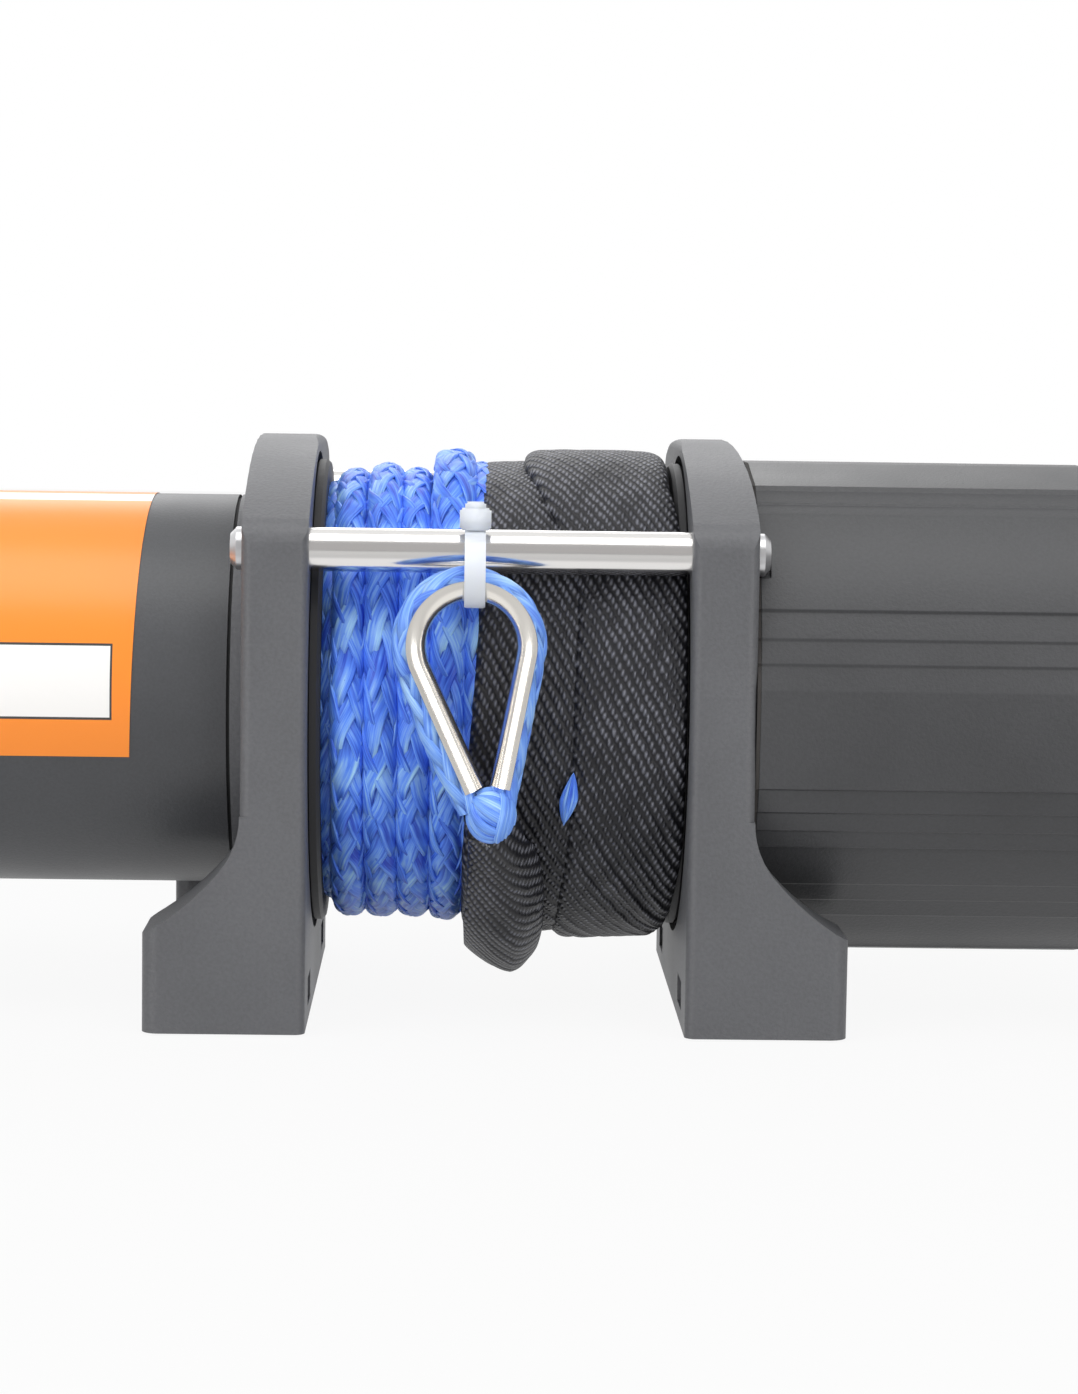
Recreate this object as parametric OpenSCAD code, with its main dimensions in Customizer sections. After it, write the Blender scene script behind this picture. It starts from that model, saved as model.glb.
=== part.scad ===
// Electric recovery winch with a wound synthetic rope, lying on its mounting feet.
// X runs along the drum from the motor to the gears, Y away from the rope side, Z up.
// The origin is the middle of the four mounting bolts, on the base plane.

/* [Mounting] */
// Distance between the mounting bolts along the drum
bolt_x = 123.8; // [118:0.1:150]
// Distance between the mounting bolts across the winch
bolt_y = 76.2; // [72:0.1:80]
// Thread diameter of the mounting bolts
bolt_d = 8; // [6:0.5:9]
// Clearance on the mounting bolts, all round
bolt_gap = 0.5; // [0.2:0.1:0.8]
// Width across the flats of a square mounting nut
nut_w = 13; // [12:0.5:14]
// Thickness of a square mounting nut
nut_t = 6.4; // [5:0.1:7]
// Floor of metal under a mounting nut
nut_floor = 3.6; // [2.5:0.1:6]

/* [End supports] */
// Gap between the rope under the drum and the base
base_gap = 5.3; // [4:0.1:12]
// Width of a foot along the drum
foot_w = 37.2; // [34:0.1:42]
// Depth of a foot from the mounting bolt towards the middle
foot_inside = 5.1; // [4.8:0.1:7]
// Height of a foot at its outer edge
foot_h = 22.6; // [18:0.2:26]
// Thickness of a support plate
plate_t = 15.1; // [13.5:0.1:18]
// Radius of the crown
crown_r = 158; // [140:1:190]
// Distance of the crown behind the middle
crown_y = 15; // [8:0.5:18]
// Corner radius at the front, round the front tie bar
front_corner_r = 8.2; // [7.6:0.1:9]
// Corner radius at the rear, round the rear tie bar
rear_corner_r = 10.4; // [8:0.1:12]
// Width of the rounded shoulder on the outer side
shoulder_w = 7.5; // [4:0.5:10]
// Height of the rounded shoulder on the outer side
shoulder_h = 22; // [14:1:26]
// Radius of the upper part of the foot flare
flare_upper_r = 20; // [14:1:26]
// Angle at which the upper flare radius hands over to the lower one
flare_turn = 40; // [30:1:50]
// Angle of the flare where it reaches the edge of the foot
flare_end = 61; // [55:1:66]
// Corner radius of a foot seen from above
foot_corner_r = 4; // [2:0.5:6]
// Depth of the recess that houses a drum flange
recess_d = 3.2; // [2.6:0.1:4]
// Clearance between a drum flange and its recess, all round
flange_gap = 1.9; // [1.5:0.1:2.2]
// Length of the collar that meets the motor can
collar_l = 3.3; // [2:0.1:5]

/* [Tie bars] */
// Diameter of a tie bar
bar_d = 10; // [8:0.1:10.5]
// Clearance between a drum flange and the front tie bar
bar_clear = 3.7; // [3.4:0.1:6]
// Angle of the front tie bar above the drum axis
bar_turn = 34.93; // [34:0.01:40]
// Depth of the seat of a tie bar in a support
bar_seat = 4; // [3:0.5:6]
// Diameter of a tie bar screw head
bar_head_d = 9.8; // [8:0.1:12]
// Thickness of a tie bar screw head
bar_head_t = 2.8; // [2:0.1:4]
// Shank diameter of a tie bar screw
bar_screw_d = 5; // [4:0.5:6]

/* [Drum and rope] */
// Distance of a drum flange inside the gear case's outline
flange_inside = 5.3; // [5:0.1:7]
// Thickness of a drum flange
flange_t = 3.2; // [2.5:0.1:4]
// Radius of the hollow inside the drum
hollow_r = 19.5; // [18:0.1:20]
// Wall of a drum neck outside the grooves for the keys
neck_wall = 2.4; // [2:0.1:3.4]
// Step from a drum neck up to the barrel
barrel_step = 1.8; // [1:0.1:3]
// Diameter of the rope
rope_d = 7; // [5:0.5:8]
// Height of the blue rope wraps below the rim of a flange
pack_below = 0.5; // [0:0.1:3]
// Height of the tall crossing wrap over the rim of a flange
crossing_over = 2.9; // [0.5:0.1:3]
// Height of the wrap beside the cable tie over the rim of a flange
waist_over = 0.9; // [0:0.1:1.4]
// Height of the sleeved wraps over the rim of a flange
sleeve_over = 3.1; // [1:0.1:3.2]
// Number of bare rope wraps
blue_wraps = 5; // [4:1:6]
// Gap between the rope wraps and a drum flange
wrap_gap = 0.6; // [0.3:0.1:1]

/* [Rope end] */
// Width over the lips of the thimble
thimble_w = 29.4; // [27:0.1:32]
// Height of the thimble from its crown to the ends of its legs
thimble_h = 48; // [44:0.5:52]
// Length of the thimble's flat lips beyond the round of its gutter
lip_l = 0.2; // [0:0.1:0.8]
// Thickness of the thimble, from front to rear
thimble_t = 8.6; // [7:0.1:9]
// Sheet thickness of the thimble
thimble_sheet = 1.1; // [0.8:0.1:1.4]
// Distance of the thimble to the motor side of the middle
thimble_x = 6.4; // [5:0.1:8]
// Distance of the thimble's top below the middle of the front tie bar
thimble_hang = 5.8; // [5.2:0.1:7]
// Width of the cable tie strap
tie_w = 4.7; // [4:0.1:5]
// Thickness of the cable tie strap
tie_t = 1.2; // [0.9:0.1:1.3]
// Width of the flat protective sleeve at the rope end
tail_w = 18; // [16:0.5:20]
// Thickness of the flat protective sleeve at the rope end
tail_t = 7; // [6:0.5:8]

/* [Motor] */
// Radius of the motor can
can_r = 46.85; // [45:0.05:48]
// Wall of the motor can
can_wall = 3; // [2.5:0.1:3.6]
// Length of the motor can
can_l = 91; // [86:1:110]
// Length of the motor end cap
cap_l = 16; // [14:0.5:20]
// Radial thickness of a field magnet
magnet_t = 6; // [5:0.2:6.6]
// Air gap between the magnets and the armature
air_gap = 0.9; // [0.6:0.1:1.2]
// Radius of the commutator
commutator_r = 15; // [13:0.5:16]
// Diameter of the motor shaft
shaft_d = 12; // [11:0.1:12.5]
// Diameter of a motor through bolt
through_d = 5; // [4:0.5:5.5]
// Thickness of the label
label_t = 0.2; // [0.1:0.05:0.4]
// Width of the label along the can
label_w = 46; // [30:1:50]
// Distance of the label from the end support
label_x = 23; // [18:0.5:28]
// Diameter of a terminal stud
stud_d = 6; // [5:0.5:8]

/* [Gear case] */
// Wall between the gear case bore and its nominal radius
case_wall = 7.6; // [7.2:0.1:8]
// Room in the gear case behind the clutch slider when it is out
slider_room = 5.6; // [5.2:0.1:12]
// Thickness of the paper gasket under the gear case
gasket_t = 0.8; // [0.5:0.1:1.2]
// Thickness of the gear end cover
cover_t = 8; // [7:0.5:11]
// Diameter of a long cover bolt
cover_bolt_d = 4; // [3.5:0.5:4.5]
// Diameter of the clutch knob
knob_d = 34; // [28:1:42]
// Height of the clutch knob
knob_h = 14; // [12:0.5:18]

/* [Gear train] */
// Size of the gear teeth (module)
tooth_m = 1.5; // [1.48:0.01:1.51]
// Pressure angle of the teeth
tooth_angle = 25; // [24:0.5:26]
// Thinning of each flank at the pitch circle
flank_gap = 0.09; // [0.06:0.01:0.14]
// Wall of the ring gear outside its teeth
ring_wall = 6.35; // [5.8:0.05:8]
// Width of the output stage teeth
output_face = 17.6; // [14:0.2:18]
// Width of the second stage teeth
second_face = 12; // [10:0.2:12.4]
// Width of the first stage teeth
first_face = 9; // [7:0.2:9.4]
// Thickness of the output carrier plate
output_plate = 5.6; // [4.5:0.1:6]
// Thickness of the other carrier plates
carrier_plate = 3.2; // [2.6:0.1:3.4]
// Width across the flats of the hex drive shaft
hex_af = 8; // [7:0.1:8.6]
// Free travel of the clutch slider
clutch_travel = 5; // [4.6:0.1:5.4]

/* [Hidden] */
$fn = 96;

// Overrun of every cut, and clearances that several fits share
over = 1;
run_gap = 0.05;
slip_gap = 0.1;
edge_r = 2.5;

// Places along the drum
inner_x = bolt_x / 2 - foot_w / 2;
plate_x = inner_x + plate_t;
foot_x = bolt_x / 2 + foot_w / 2;
flange_proud = 2.6;
flange_x = inner_x - flange_proud;
bush_wall = 3;
bush_l = 8.6;
bush_x = inner_x + recess_d + bush_l;
neck_end_gap = 0.4;
neck_x = bush_x - neck_end_gap;

// Teeth of the ring, of the planets and of the suns, and the gear case round them
ring_teeth = 60;
planet_teeth = 24;
sun_teeth = 12;
output_planet_teeth = 21;
output_sun_teeth = 18;
planets = 3;
addendum_share = 0.95;
dedendum_share = 1.3;
ring_addendum_share = 0.88;
addendum = addendum_share * tooth_m;
dedendum = dedendum_share * tooth_m;
ring_addendum = ring_addendum_share * tooth_m;
ring_r = tooth_m * ring_teeth / 2 + dedendum + ring_wall;
case_bore_r = ring_r + slip_gap;
case_r = case_bore_r + case_wall;
key_h = 1.7;
neck_r = hollow_r + key_h + neck_wall;
barrel_r = neck_r + barrel_step;

// Rope packs, and the height of the drum that leaves the rope its room over the base
flange_r = case_r - flange_inside;
rope_pack_r = flange_r - pack_below;
crossing_r = flange_r + crossing_over;
waist_r = flange_r + waist_over;
sleeve_pack_r = flange_r + sleeve_over;
split_x = 0.5;
split_gap = 0.15;
wrap_w = (split_x - split_gap + flange_x - wrap_gap) / blue_wraps;
sleeve_share = 0.4816;
sleeve_w = (flange_x - wrap_gap - split_x - split_gap) * sleeve_share;
bump = 1.6;
bump_steps = 6;
pack_gap = 0.9;
tail_drop = 1.3;
axis_z = base_gap + tail_t + tail_drop + pack_gap + sleeve_pack_r;

// Places of the tie bars, each on the centre of its corner of the support. The front one clears
// the flanges, and the crown passes over it
bar_ring_r = flange_r + bar_clear + bar_d / 2;
front_bar_y = -bar_ring_r * cos(bar_turn);
front_bar_z = axis_z + bar_ring_r * sin(bar_turn);
support_d = 2 * (front_corner_r - front_bar_y);
front_y = -support_d / 2;
rear_y = support_d / 2;
foot_d = support_d / 2 - bolt_y / 2 + foot_inside;
rear_bar_y = rear_y - rear_corner_r;
function crown_rise(y, r) = sqrt(pow(crown_r - r, 2) - pow(y - crown_y, 2));
crown_c = front_bar_z - crown_rise(front_bar_y, front_corner_r);
crown_h = crown_c + crown_r;
rear_bar_z = crown_c + crown_rise(rear_bar_y, rear_corner_r);
bars = [[front_bar_y, front_bar_z], [rear_bar_y, rear_bar_z]];

// Flare of the feet: two arcs, tangent to the plate and to each other
flare_reach = foot_x - plate_x;
flare_lower_r = (flare_reach - flare_upper_r * (1 - cos(flare_turn))) / (cos(flare_turn) - cos(flare_end));
flare_drop = flare_upper_r * sin(flare_turn) + flare_lower_r * (sin(flare_end) - sin(flare_turn));
flare_z = foot_h + flare_drop;
flare_steps = 6;

// Motor places, counted away from the drum
seal_t = 0.8;
spigot_l = 5;
can_room = 0.7;
can_x = plate_x + collar_l + seal_t;
can_end_x = can_x + can_l;
can_bore_r = can_r - can_wall;
core_inset = 18.5;
turns_l = 6;
commutator_l = 14;
commutator_gap = 1.4;
commutator_end_gap = 1.1;
core_l = can_l - core_inset - turns_l - commutator_gap - commutator_l - commutator_end_gap;
core_x = can_x + core_inset;
core_end_x = core_x + core_l;
magnet_over = 4;
magnet_arc = 68;
core_r = can_bore_r - magnet_t - air_gap;
slots = 12;
slot_w = 7;
slot_depth = 13;
slot_lip = 2;
through_inset = 1.2;
through_r = can_bore_r - through_d / 2 - through_inset;
through_head_h = 3.2;
bearing_r = 14;
bearing_t = 8;
bearing_step = 0.6;
bearing_x = bush_x + bearing_step;
bearing_lip = 2;
rear_bush_r = 9.5;
rear_bush_l = 10;
cap_wall = 3;
cap_inset = 0.8;
brush_plate_t = 2;
brush_w = 8;
brush_l = 9;
brush_wall = 1;
brush_lift = 2;
brush_room = 2.85;
brush_box_h = can_bore_r - commutator_r - brush_lift - brush_room;
brush_h = brush_box_h / 2 + brush_lift - brush_wall;
commutator_x = core_end_x + turns_l + commutator_gap;
brush_x = commutator_x + commutator_l / 2;
stud_y = 17;
stud_up = 15;
stud_l = 15;
washer_t = 1.6;
stud_nut_t = 4.4;
stud_nut_w = 10;
label_top = 100;
label_end = -14.7;

// Gear train
planet_r = (sun_teeth + planet_teeth) * tooth_m / 2;
output_planet_r = (output_sun_teeth + output_planet_teeth) * tooth_m / 2;
pin_r = 5;
side_gap = 0.4;
stage_gap = 1;
pillar_r = 4;
carrier_gap = 1.08;
pillar_inset = 0.6;
carrier_r = tooth_m * ring_teeth / 2 - ring_addendum - carrier_gap;
pillar_ring_r = carrier_r - pillar_r - pillar_inset;
case_x = plate_x + gasket_t;
output_x = case_x + 2 * side_gap;
output_gear_x = output_x + output_plate + side_gap;
output_back_x = output_gear_x + output_face + side_gap;
second_x = output_back_x + carrier_plate + stage_gap;
second_gear_x = second_x + carrier_plate + side_gap;
second_back_x = second_gear_x + second_face + side_gap;
first_x = second_back_x + carrier_plate + stage_gap;
first_gear_x = first_x + carrier_plate + side_gap;
first_back_x = first_gear_x + first_face + side_gap;
train_end_x = first_back_x + carrier_plate;
ring_end_x = train_end_x - side_gap;
shaft_gap = 0.4;
shaft_bore_r = hex_af / sqrt(3) + shaft_gap;
hex_overlap = 3;
hex_x = -inner_x - hex_overlap;
hex_end_x = train_end_x + side_gap;
case_lip = 0.8;
case_room = 1.2;
slider_gap = 0.4;
slider_back = 2;
slider_x = train_end_x + slider_back;
slider_t = 4;
case_end_x = slider_x + slider_t + clutch_travel + slider_room;
case_l = case_end_x - case_x;
cover_x = case_end_x + cover_t;
hub_r = hollow_r - slip_gap;
keys = 6;
key_w = 6;
key_gap = 0.15;
key_x = inner_x;

// Clutch places
dog_r = (ring_r + tooth_m * ring_teeth / 2 + dedendum) / 2;
dog_d = 3.6;
dog_gap = 0.2;
dog_l = 5;
dogs = 6;
slider_r = case_bore_r - case_lip - slider_gap;
slider_hub_r = 9.5;
slider_hub_l = 9.6;
stem_r = 5.6;
cross_pin_r = 1.4;
cross_pin_inset = 2.6;
cross_pin_x = slider_x + slider_t + slider_hub_l - cross_pin_inset;
cross_pin_l = 2 * slider_hub_r - 2 * slider_gap;
slot_steps = 10;
slot_gap = 0.5;
boss_r = 22;
boss_h = 3;
boss_pocket_r = 12;
knob_x = cover_x + boss_h + 2 * side_gap;

// Rope places
thimble_y = -sleeve_pack_r - pack_gap - thimble_t / 2;
thimble_top = front_bar_z - thimble_hang;
crown_centre_z = thimble_top - thimble_w / 2;
thimble_tilt = 7;
leg_spread = 4.9;
gutter_r = thimble_t / 2;
gutter_w = gutter_r + lip_l;
eye_r = gutter_r - thimble_sheet - slip_gap;
splice_r = 5.4;
tie_x = -5.85;
tie_head = [7.1, 5.2, 5];
tie_set = 2.6;
tie_slack = 0.6;
tie_loop = 6.6;
tail_x = 0.6;
tail_from = 46;
tail_sweep = 52;
tail_run = 27;

// Colours
cast_grey = "#4b4c50";
steel = "#c9c9cb";
dark_steel = "#5c5d60";
rope_blue = "#2f5fd6";
rope_black = "#1f1f22";
nylon = "#e9ebee";
copper = "#b87333";
gold = "#b8974a";

// A cylinder along the drum axis, from x0 towards the gear end
module rod(x0, l, r) {
    translate([x0, 0, axis_z]) rotate([0, 90, 0]) cylinder(h = l, r = r);
}

// A tube along the drum axis
module tube(x0, l, r_out, r_in) {
    difference() {
        rod(x0, l, r_out);
        rod(x0 - over, l + 2 * over, r_in);
    }
}

// Places children on the drum axis with their z along the drum, x down and y to the rear
module on_axis(x0) {
    translate([x0, 0, axis_z]) rotate([0, 90, 0]) children();
}

// Extrudes a side view (y, z) along the drum
module side_slab(x0, t) {
    translate([x0, 0, 0]) rotate([90, 0, 90]) linear_extrude(t) children();
}

// Extrudes a front view (x, z) from y0 to the rear
module front_slab(y0, t) {
    translate([0, y0 + t, 0]) rotate([90, 0, 0]) linear_extrude(t) children();
}

// Mirrors a part made for the gear end to the motor end
module motor_side() {
    mirror([1, 0, 0]) children();
}

// A round bar or hole along the drum at a place in the side view
module bar_at(place, x0, l, d) {
    translate([x0, place[0], place[1]]) rotate([0, 90, 0]) cylinder(h = l, d = d);
}

module corner_cut(bar, r, side) {
    reach = norm([bar[0] - crown_y, bar[1] - crown_c]);
    out = [(bar[0] - crown_y) / reach, (bar[1] - crown_c) / reach] * (r + over);
    edge = side * (support_d / 2 + over);
    polygon([[edge, bar[1]], bar, bar + out, [edge, bar[1] + out[1] + over]]);
}

module support_outline() {
    difference() {
        intersection() {
            translate([front_y, 0]) square([support_d, crown_h]);
            translate([crown_y, crown_c]) circle(r = crown_r, $fn = 240);
        }
        corner_cut(bars[0], front_corner_r, -1);
        corner_cut(bars[1], rear_corner_r, 1);
    }
    translate(bars[0]) circle(r = front_corner_r);
    translate(bars[1]) circle(r = rear_corner_r);
}

// Front view of the plate, with its rounded outer shoulder and inner edge
module plate_front() {
    shoulder = [plate_x - shoulder_w, crown_h - shoulder_h];
    inner = [inner_x + edge_r, crown_h - edge_r];
    polygon(concat(
        [[inner_x, 0], [plate_x, 0]],
        [for (a = [0 : 9 : 90]) shoulder + [shoulder_w * cos(a), shoulder_h * sin(a)]],
        [for (a = [90 : 15 : 180]) inner + edge_r * [cos(a), sin(a)]]
    ));
}

// Plan view of a rectangle with rounded corners
module round_plan(x0, x1, y0, y1, r) {
    translate([x0 + r, y0]) square([x1 - x0 - 2 * r, y1 - y0]);
    translate([x0, y0 + r]) square([x1 - x0, y1 - y0 - 2 * r]);
    for (x = [x0 + r, x1 - r]) {
        for (y = [y0 + r, y1 - r]) translate([x, y]) circle(r = r);
    }
}

function flare_point(centre, r, a) = centre + r * [cos(180 + a), sin(180 + a)];

// Front view of a foot with its flare
module foot_front() {
    upper = [plate_x + flare_upper_r, flare_z];
    turn = flare_point(upper, flare_upper_r, flare_turn);
    lower = turn - flare_lower_r * [cos(180 + flare_turn), sin(180 + flare_turn)];
    root = inner_x + edge_r;
    polygon(concat(
        [[root, flare_z]],
        [for (i = [0 : flare_steps]) flare_point(upper, flare_upper_r, flare_turn * i / flare_steps)],
        [for (i = [1 : flare_steps])
            flare_point(lower, flare_lower_r, flare_turn + (flare_end - flare_turn) * i / flare_steps)],
        [[foot_x, 0], [root, 0]]
    ));
}

module foot(y0) {
    intersection() {
        front_slab(y0, foot_d) foot_front();
        linear_extrude(crown_h) round_plan(inner_x - foot_corner_r, foot_x, y0, y0 + foot_d, foot_corner_r);
    }
}

module mount_cuts() {
    pocket_w = nut_w + 6 * slip_gap;
    for (side = [-1, 1]) {
        translate([bolt_x / 2, side * bolt_y / 2, -over])
            cylinder(h = nut_floor + 3 * nut_t + over, d = bolt_d + 2 * bolt_gap);
        translate([inner_x - over, side * bolt_y / 2 - pocket_w / 2, nut_floor])
            cube([bolt_x / 2 - inner_x + over + pocket_w / 2, pocket_w, nut_t + 2 * slip_gap]);
    }
}

// The casting common to both end supports, drawn for the gear end
module support_casting() {
    difference() {
        union() {
            intersection() {
                side_slab(inner_x, plate_t) support_outline();
                front_slab(front_y, support_d) plate_front();
                linear_extrude(crown_h + over) round_plan(inner_x, plate_x, front_y, rear_y, edge_r);
            }
            foot(front_y);
            foot(rear_y - foot_d);
        }
        rod(inner_x - over, recess_d + over, flange_r + flange_gap);
        rod(inner_x - over, bush_x - inner_x + over, neck_r + bush_wall);
        mount_cuts();
        for (bar = bars) {
            bar_at(bar, inner_x - over, bar_seat + over, bar_d + 2 * run_gap);
            bar_at(bar, inner_x - over, plate_t + 2 * over, bar_screw_d + 2 * slip_gap);
        }
    }
}

module through_places() {
    for (side = [-1, 1]) translate([0, side * through_r, 0]) children();
}

module motor_end_support() {
    tapped_x = inner_x + recess_d + bar_seat;
    color(cast_grey) motor_side() difference() {
        union() {
            difference() {
                support_casting();
                rod(plate_x + collar_l, flare_reach + over, can_r + can_room);
            }
            tube(plate_x - edge_r, collar_l + edge_r, can_r, bearing_r + bush_wall);
            tube(plate_x - edge_r, edge_r + collar_l + spigot_l, can_bore_r - run_gap, can_bore_r - 2 * edge_r);
            rod(plate_x - edge_r, edge_r + collar_l + spigot_l, bearing_r + bush_wall + edge_r);
            intersection() {
                through_places() rod(plate_x, collar_l + spigot_l, through_d);
                rod(plate_x - over, collar_l + spigot_l + 2 * over, can_bore_r - slip_gap);
            }
        }
        rod(bearing_x, plate_t + 2 * spigot_l, bearing_r + run_gap);
        rod(bush_x - over, bearing_step + 2 * over, bearing_r - bearing_lip);
        through_places() rod(tapped_x, plate_t + 2 * spigot_l, through_d / 2 + run_gap);
    }
}

cover_bolt_r = (case_bore_r + case_r) / 2 - slip_gap;
cover_bolt_angles = [10, 78, 102, 170, 210, 330];
module cover_bolt_places() {
    for (a = cover_bolt_angles) {
        translate([0, cover_bolt_r * cos(a), -cover_bolt_r * sin(a)]) children();
    }
}

module gear_end_support() {
    color(cast_grey) difference() {
        support_casting();
        rod(bush_x - over, plate_t, hub_r + key_h);
        rod(plate_x, flare_reach + over, case_r + case_room);
        cover_bolt_places() rod(plate_x - bar_seat, bar_seat + over, cover_bolt_d / 2 + run_gap);
    }
}

module tie_bar(bar) {
    color(steel) difference() {
        bar_at(bar, -inner_x - bar_seat + run_gap, 2 * (inner_x + bar_seat - run_gap), bar_d);
        for (x = [-inner_x - bar_seat, inner_x - 2 * bar_seat]) {
            bar_at(bar, x - over, 3 * bar_seat + 2 * over, bar_screw_d + 2 * run_gap);
        }
    }
}
module front_tie_bar() tie_bar(bars[0]);
module rear_tie_bar() tie_bar(bars[1]);

module button_screw(bar) {
    socket_share = 0.417;
    head_top_share = 0.7;
    difference() {
        union() {
            bar_at(bar, inner_x - bar_seat, plate_t + bar_seat, bar_screw_d);
            bar_at(bar, plate_x, bar_head_t / 2, bar_head_d);
            translate([plate_x + bar_head_t / 2, bar[0], bar[1]]) rotate([0, 90, 0])
                cylinder(h = bar_head_t / 2, d1 = bar_head_d, d2 = head_top_share * bar_head_d);
        }
        translate([plate_x + bar_head_t / 3, bar[0], bar[1]]) rotate([0, 90, 0])
            cylinder(h = bar_head_t, d = socket_share * bar_head_d, $fn = 6);
    }
}
module tie_bar_screws() {
    color(steel) for (bar = bars) {
        button_screw(bar);
        motor_side() button_screw(bar);
    }
}

module mounting_nuts() {
    color(steel) for (sx = [-1, 1], sy = [-1, 1]) {
        translate([sx * bolt_x / 2, sy * bolt_y / 2, nut_floor]) difference() {
            translate([-nut_w / 2, -nut_w / 2, 0]) cube([nut_w, nut_w, nut_t]);
            translate([0, 0, -over]) cylinder(h = nut_t + 2 * over, d = bolt_d);
        }
    }
}

module drum_bush() {
    tube(inner_x + recess_d, bush_l, neck_r + bush_wall, neck_r + run_gap);
}
module motor_side_bush() color(nylon) motor_side() drum_bush();
module gear_side_bush() color(nylon) drum_bush();

module motor_seal() {
    color("black") motor_side() tube(can_x - seal_t, seal_t, can_r - seal_t, can_bore_r);
}

module motor_can() {
    color(cast_grey) motor_side() tube(can_x, can_l, can_r, can_bore_r);
}

module motor_label() {
    color("orange") on_axis(-plate_x - label_x - label_w) rotate([0, 0, -90 - label_top])
        rotate_extrude(angle = label_top - label_end)
            translate([can_r + run_gap, 0]) square([label_t, label_w]);
}

module field_magnets() {
    color(dark_steel) motor_side() on_axis(core_x - magnet_over) for (a = [0 : 90 : 270]) {
        rotate([0, 0, a + 45 - magnet_arc / 2]) rotate_extrude(angle = magnet_arc)
            translate([can_bore_r - magnet_t, 0]) square([magnet_t - run_gap, core_l + 2 * magnet_over]);
    }
}

module motor_end_cap() {
    cap_r = can_r - cap_inset;
    color(cast_grey) motor_side() difference() {
        on_axis(can_end_x) rotate_extrude() polygon([
            [0, 0], [cap_r, 0], [cap_r, cap_l - 2 * cap_wall], [cap_r - 2 * cap_wall, cap_l],
            [stud_y + 2 * stud_d, cap_l], [rear_bush_r + 2 * cap_wall, cap_l], [0, cap_l]
        ]);
        rod(can_end_x - over, cap_l - cap_wall + over, rear_bush_r + run_gap);
        difference() {
            rod(can_end_x - over, cap_l - 2 * cap_wall + over, cap_r - cap_wall);
            rod(can_end_x - over, cap_l, rear_bush_r + cap_wall);
            through_places() rod(can_end_x - over, cap_l, through_d);
        }
        through_places() rod(can_end_x - over, cap_l + 2 * over, through_d / 2 + slip_gap);
        stud_places() rod(can_end_x, cap_l + over, stud_d / 2 + slip_gap);
    }
}

module motor_bolts() {
    grip = inner_x + recess_d + bar_seat;
    socket_share = 0.625;
    color(steel) motor_side() through_places() {
        rod(grip, can_end_x + cap_l - grip, through_d / 2);
        difference() {
            rod(can_end_x + cap_l, through_head_h, through_d - edge_r / 2);
            translate([can_end_x + cap_l + through_head_h / 2, 0, axis_z]) rotate([0, 90, 0])
                cylinder(h = through_head_h, d = socket_share * through_d, $fn = 6);
        }
    }
}

module front_bearing() {
    race = 2;
    ball_d = bearing_r - shaft_d / 2 - 2 * race;
    balls = 8;
    color(steel) motor_side() {
        difference() {
            union() {
                tube(bearing_x, bearing_t, bearing_r, bearing_r - race - ball_d / 5);
                tube(bearing_x, bearing_t, shaft_d / 2 + race + ball_d / 5, shaft_d / 2 + run_gap);
            }
            on_axis(bearing_x + bearing_t / 2) rotate_extrude()
                translate([bearing_r - race - ball_d / 2, 0]) circle(d = ball_d, $fn = 32);
        }
        on_axis(bearing_x + bearing_t / 2) for (i = [0 : balls - 1]) {
            rotate([0, 0, 360 * i / balls]) translate([bearing_r - race - ball_d / 2, 0, 0])
                sphere(d = ball_d - 2 * run_gap, $fn = 32);
        }
    }
}

module rear_bush() {
    color(gold) motor_side() tube(can_end_x + cap_l - cap_wall - rear_bush_l, rear_bush_l, rear_bush_r,
        shaft_d / 2 + run_gap);
}

// Two brush boxes on a ring plate, above and below the commutator
module brush_places() {
    for (side = [0, 180]) on_axis(brush_x) rotate([0, 0, side]) children();
}
module brush_holder() {
    box = [brush_box_h, brush_w + 2 * brush_wall + 2 * slip_gap, brush_l + 2 * brush_wall + 2 * slip_gap];
    base_r = commutator_r + brush_lift;
    color("#3a2f24") motor_side() difference() {
        union() {
            tube(brush_x + box[2] / 2 - slip_gap, brush_plate_t, can_bore_r - slip_gap, base_r);
            brush_places() translate([base_r, -box[1] / 2, -box[2] / 2]) cube(box);
        }
        brush_places() translate([base_r - over, -brush_w / 2 - slip_gap, -brush_l / 2 - slip_gap])
            cube([brush_box_h - brush_wall + over, brush_w + 2 * slip_gap, brush_l + 2 * slip_gap]);
        through_places() rod(brush_x, brush_l, through_d);
    }
}
module carbon_brushes() {
    color("#2b2b2b") motor_side() difference() {
        brush_places() translate([commutator_r - over, -brush_w / 2, -brush_l / 2])
            cube([brush_h + over, brush_w, brush_l]);
        rod(brush_x - brush_l, 2 * brush_l, commutator_r + run_gap);
    }
}

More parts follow.
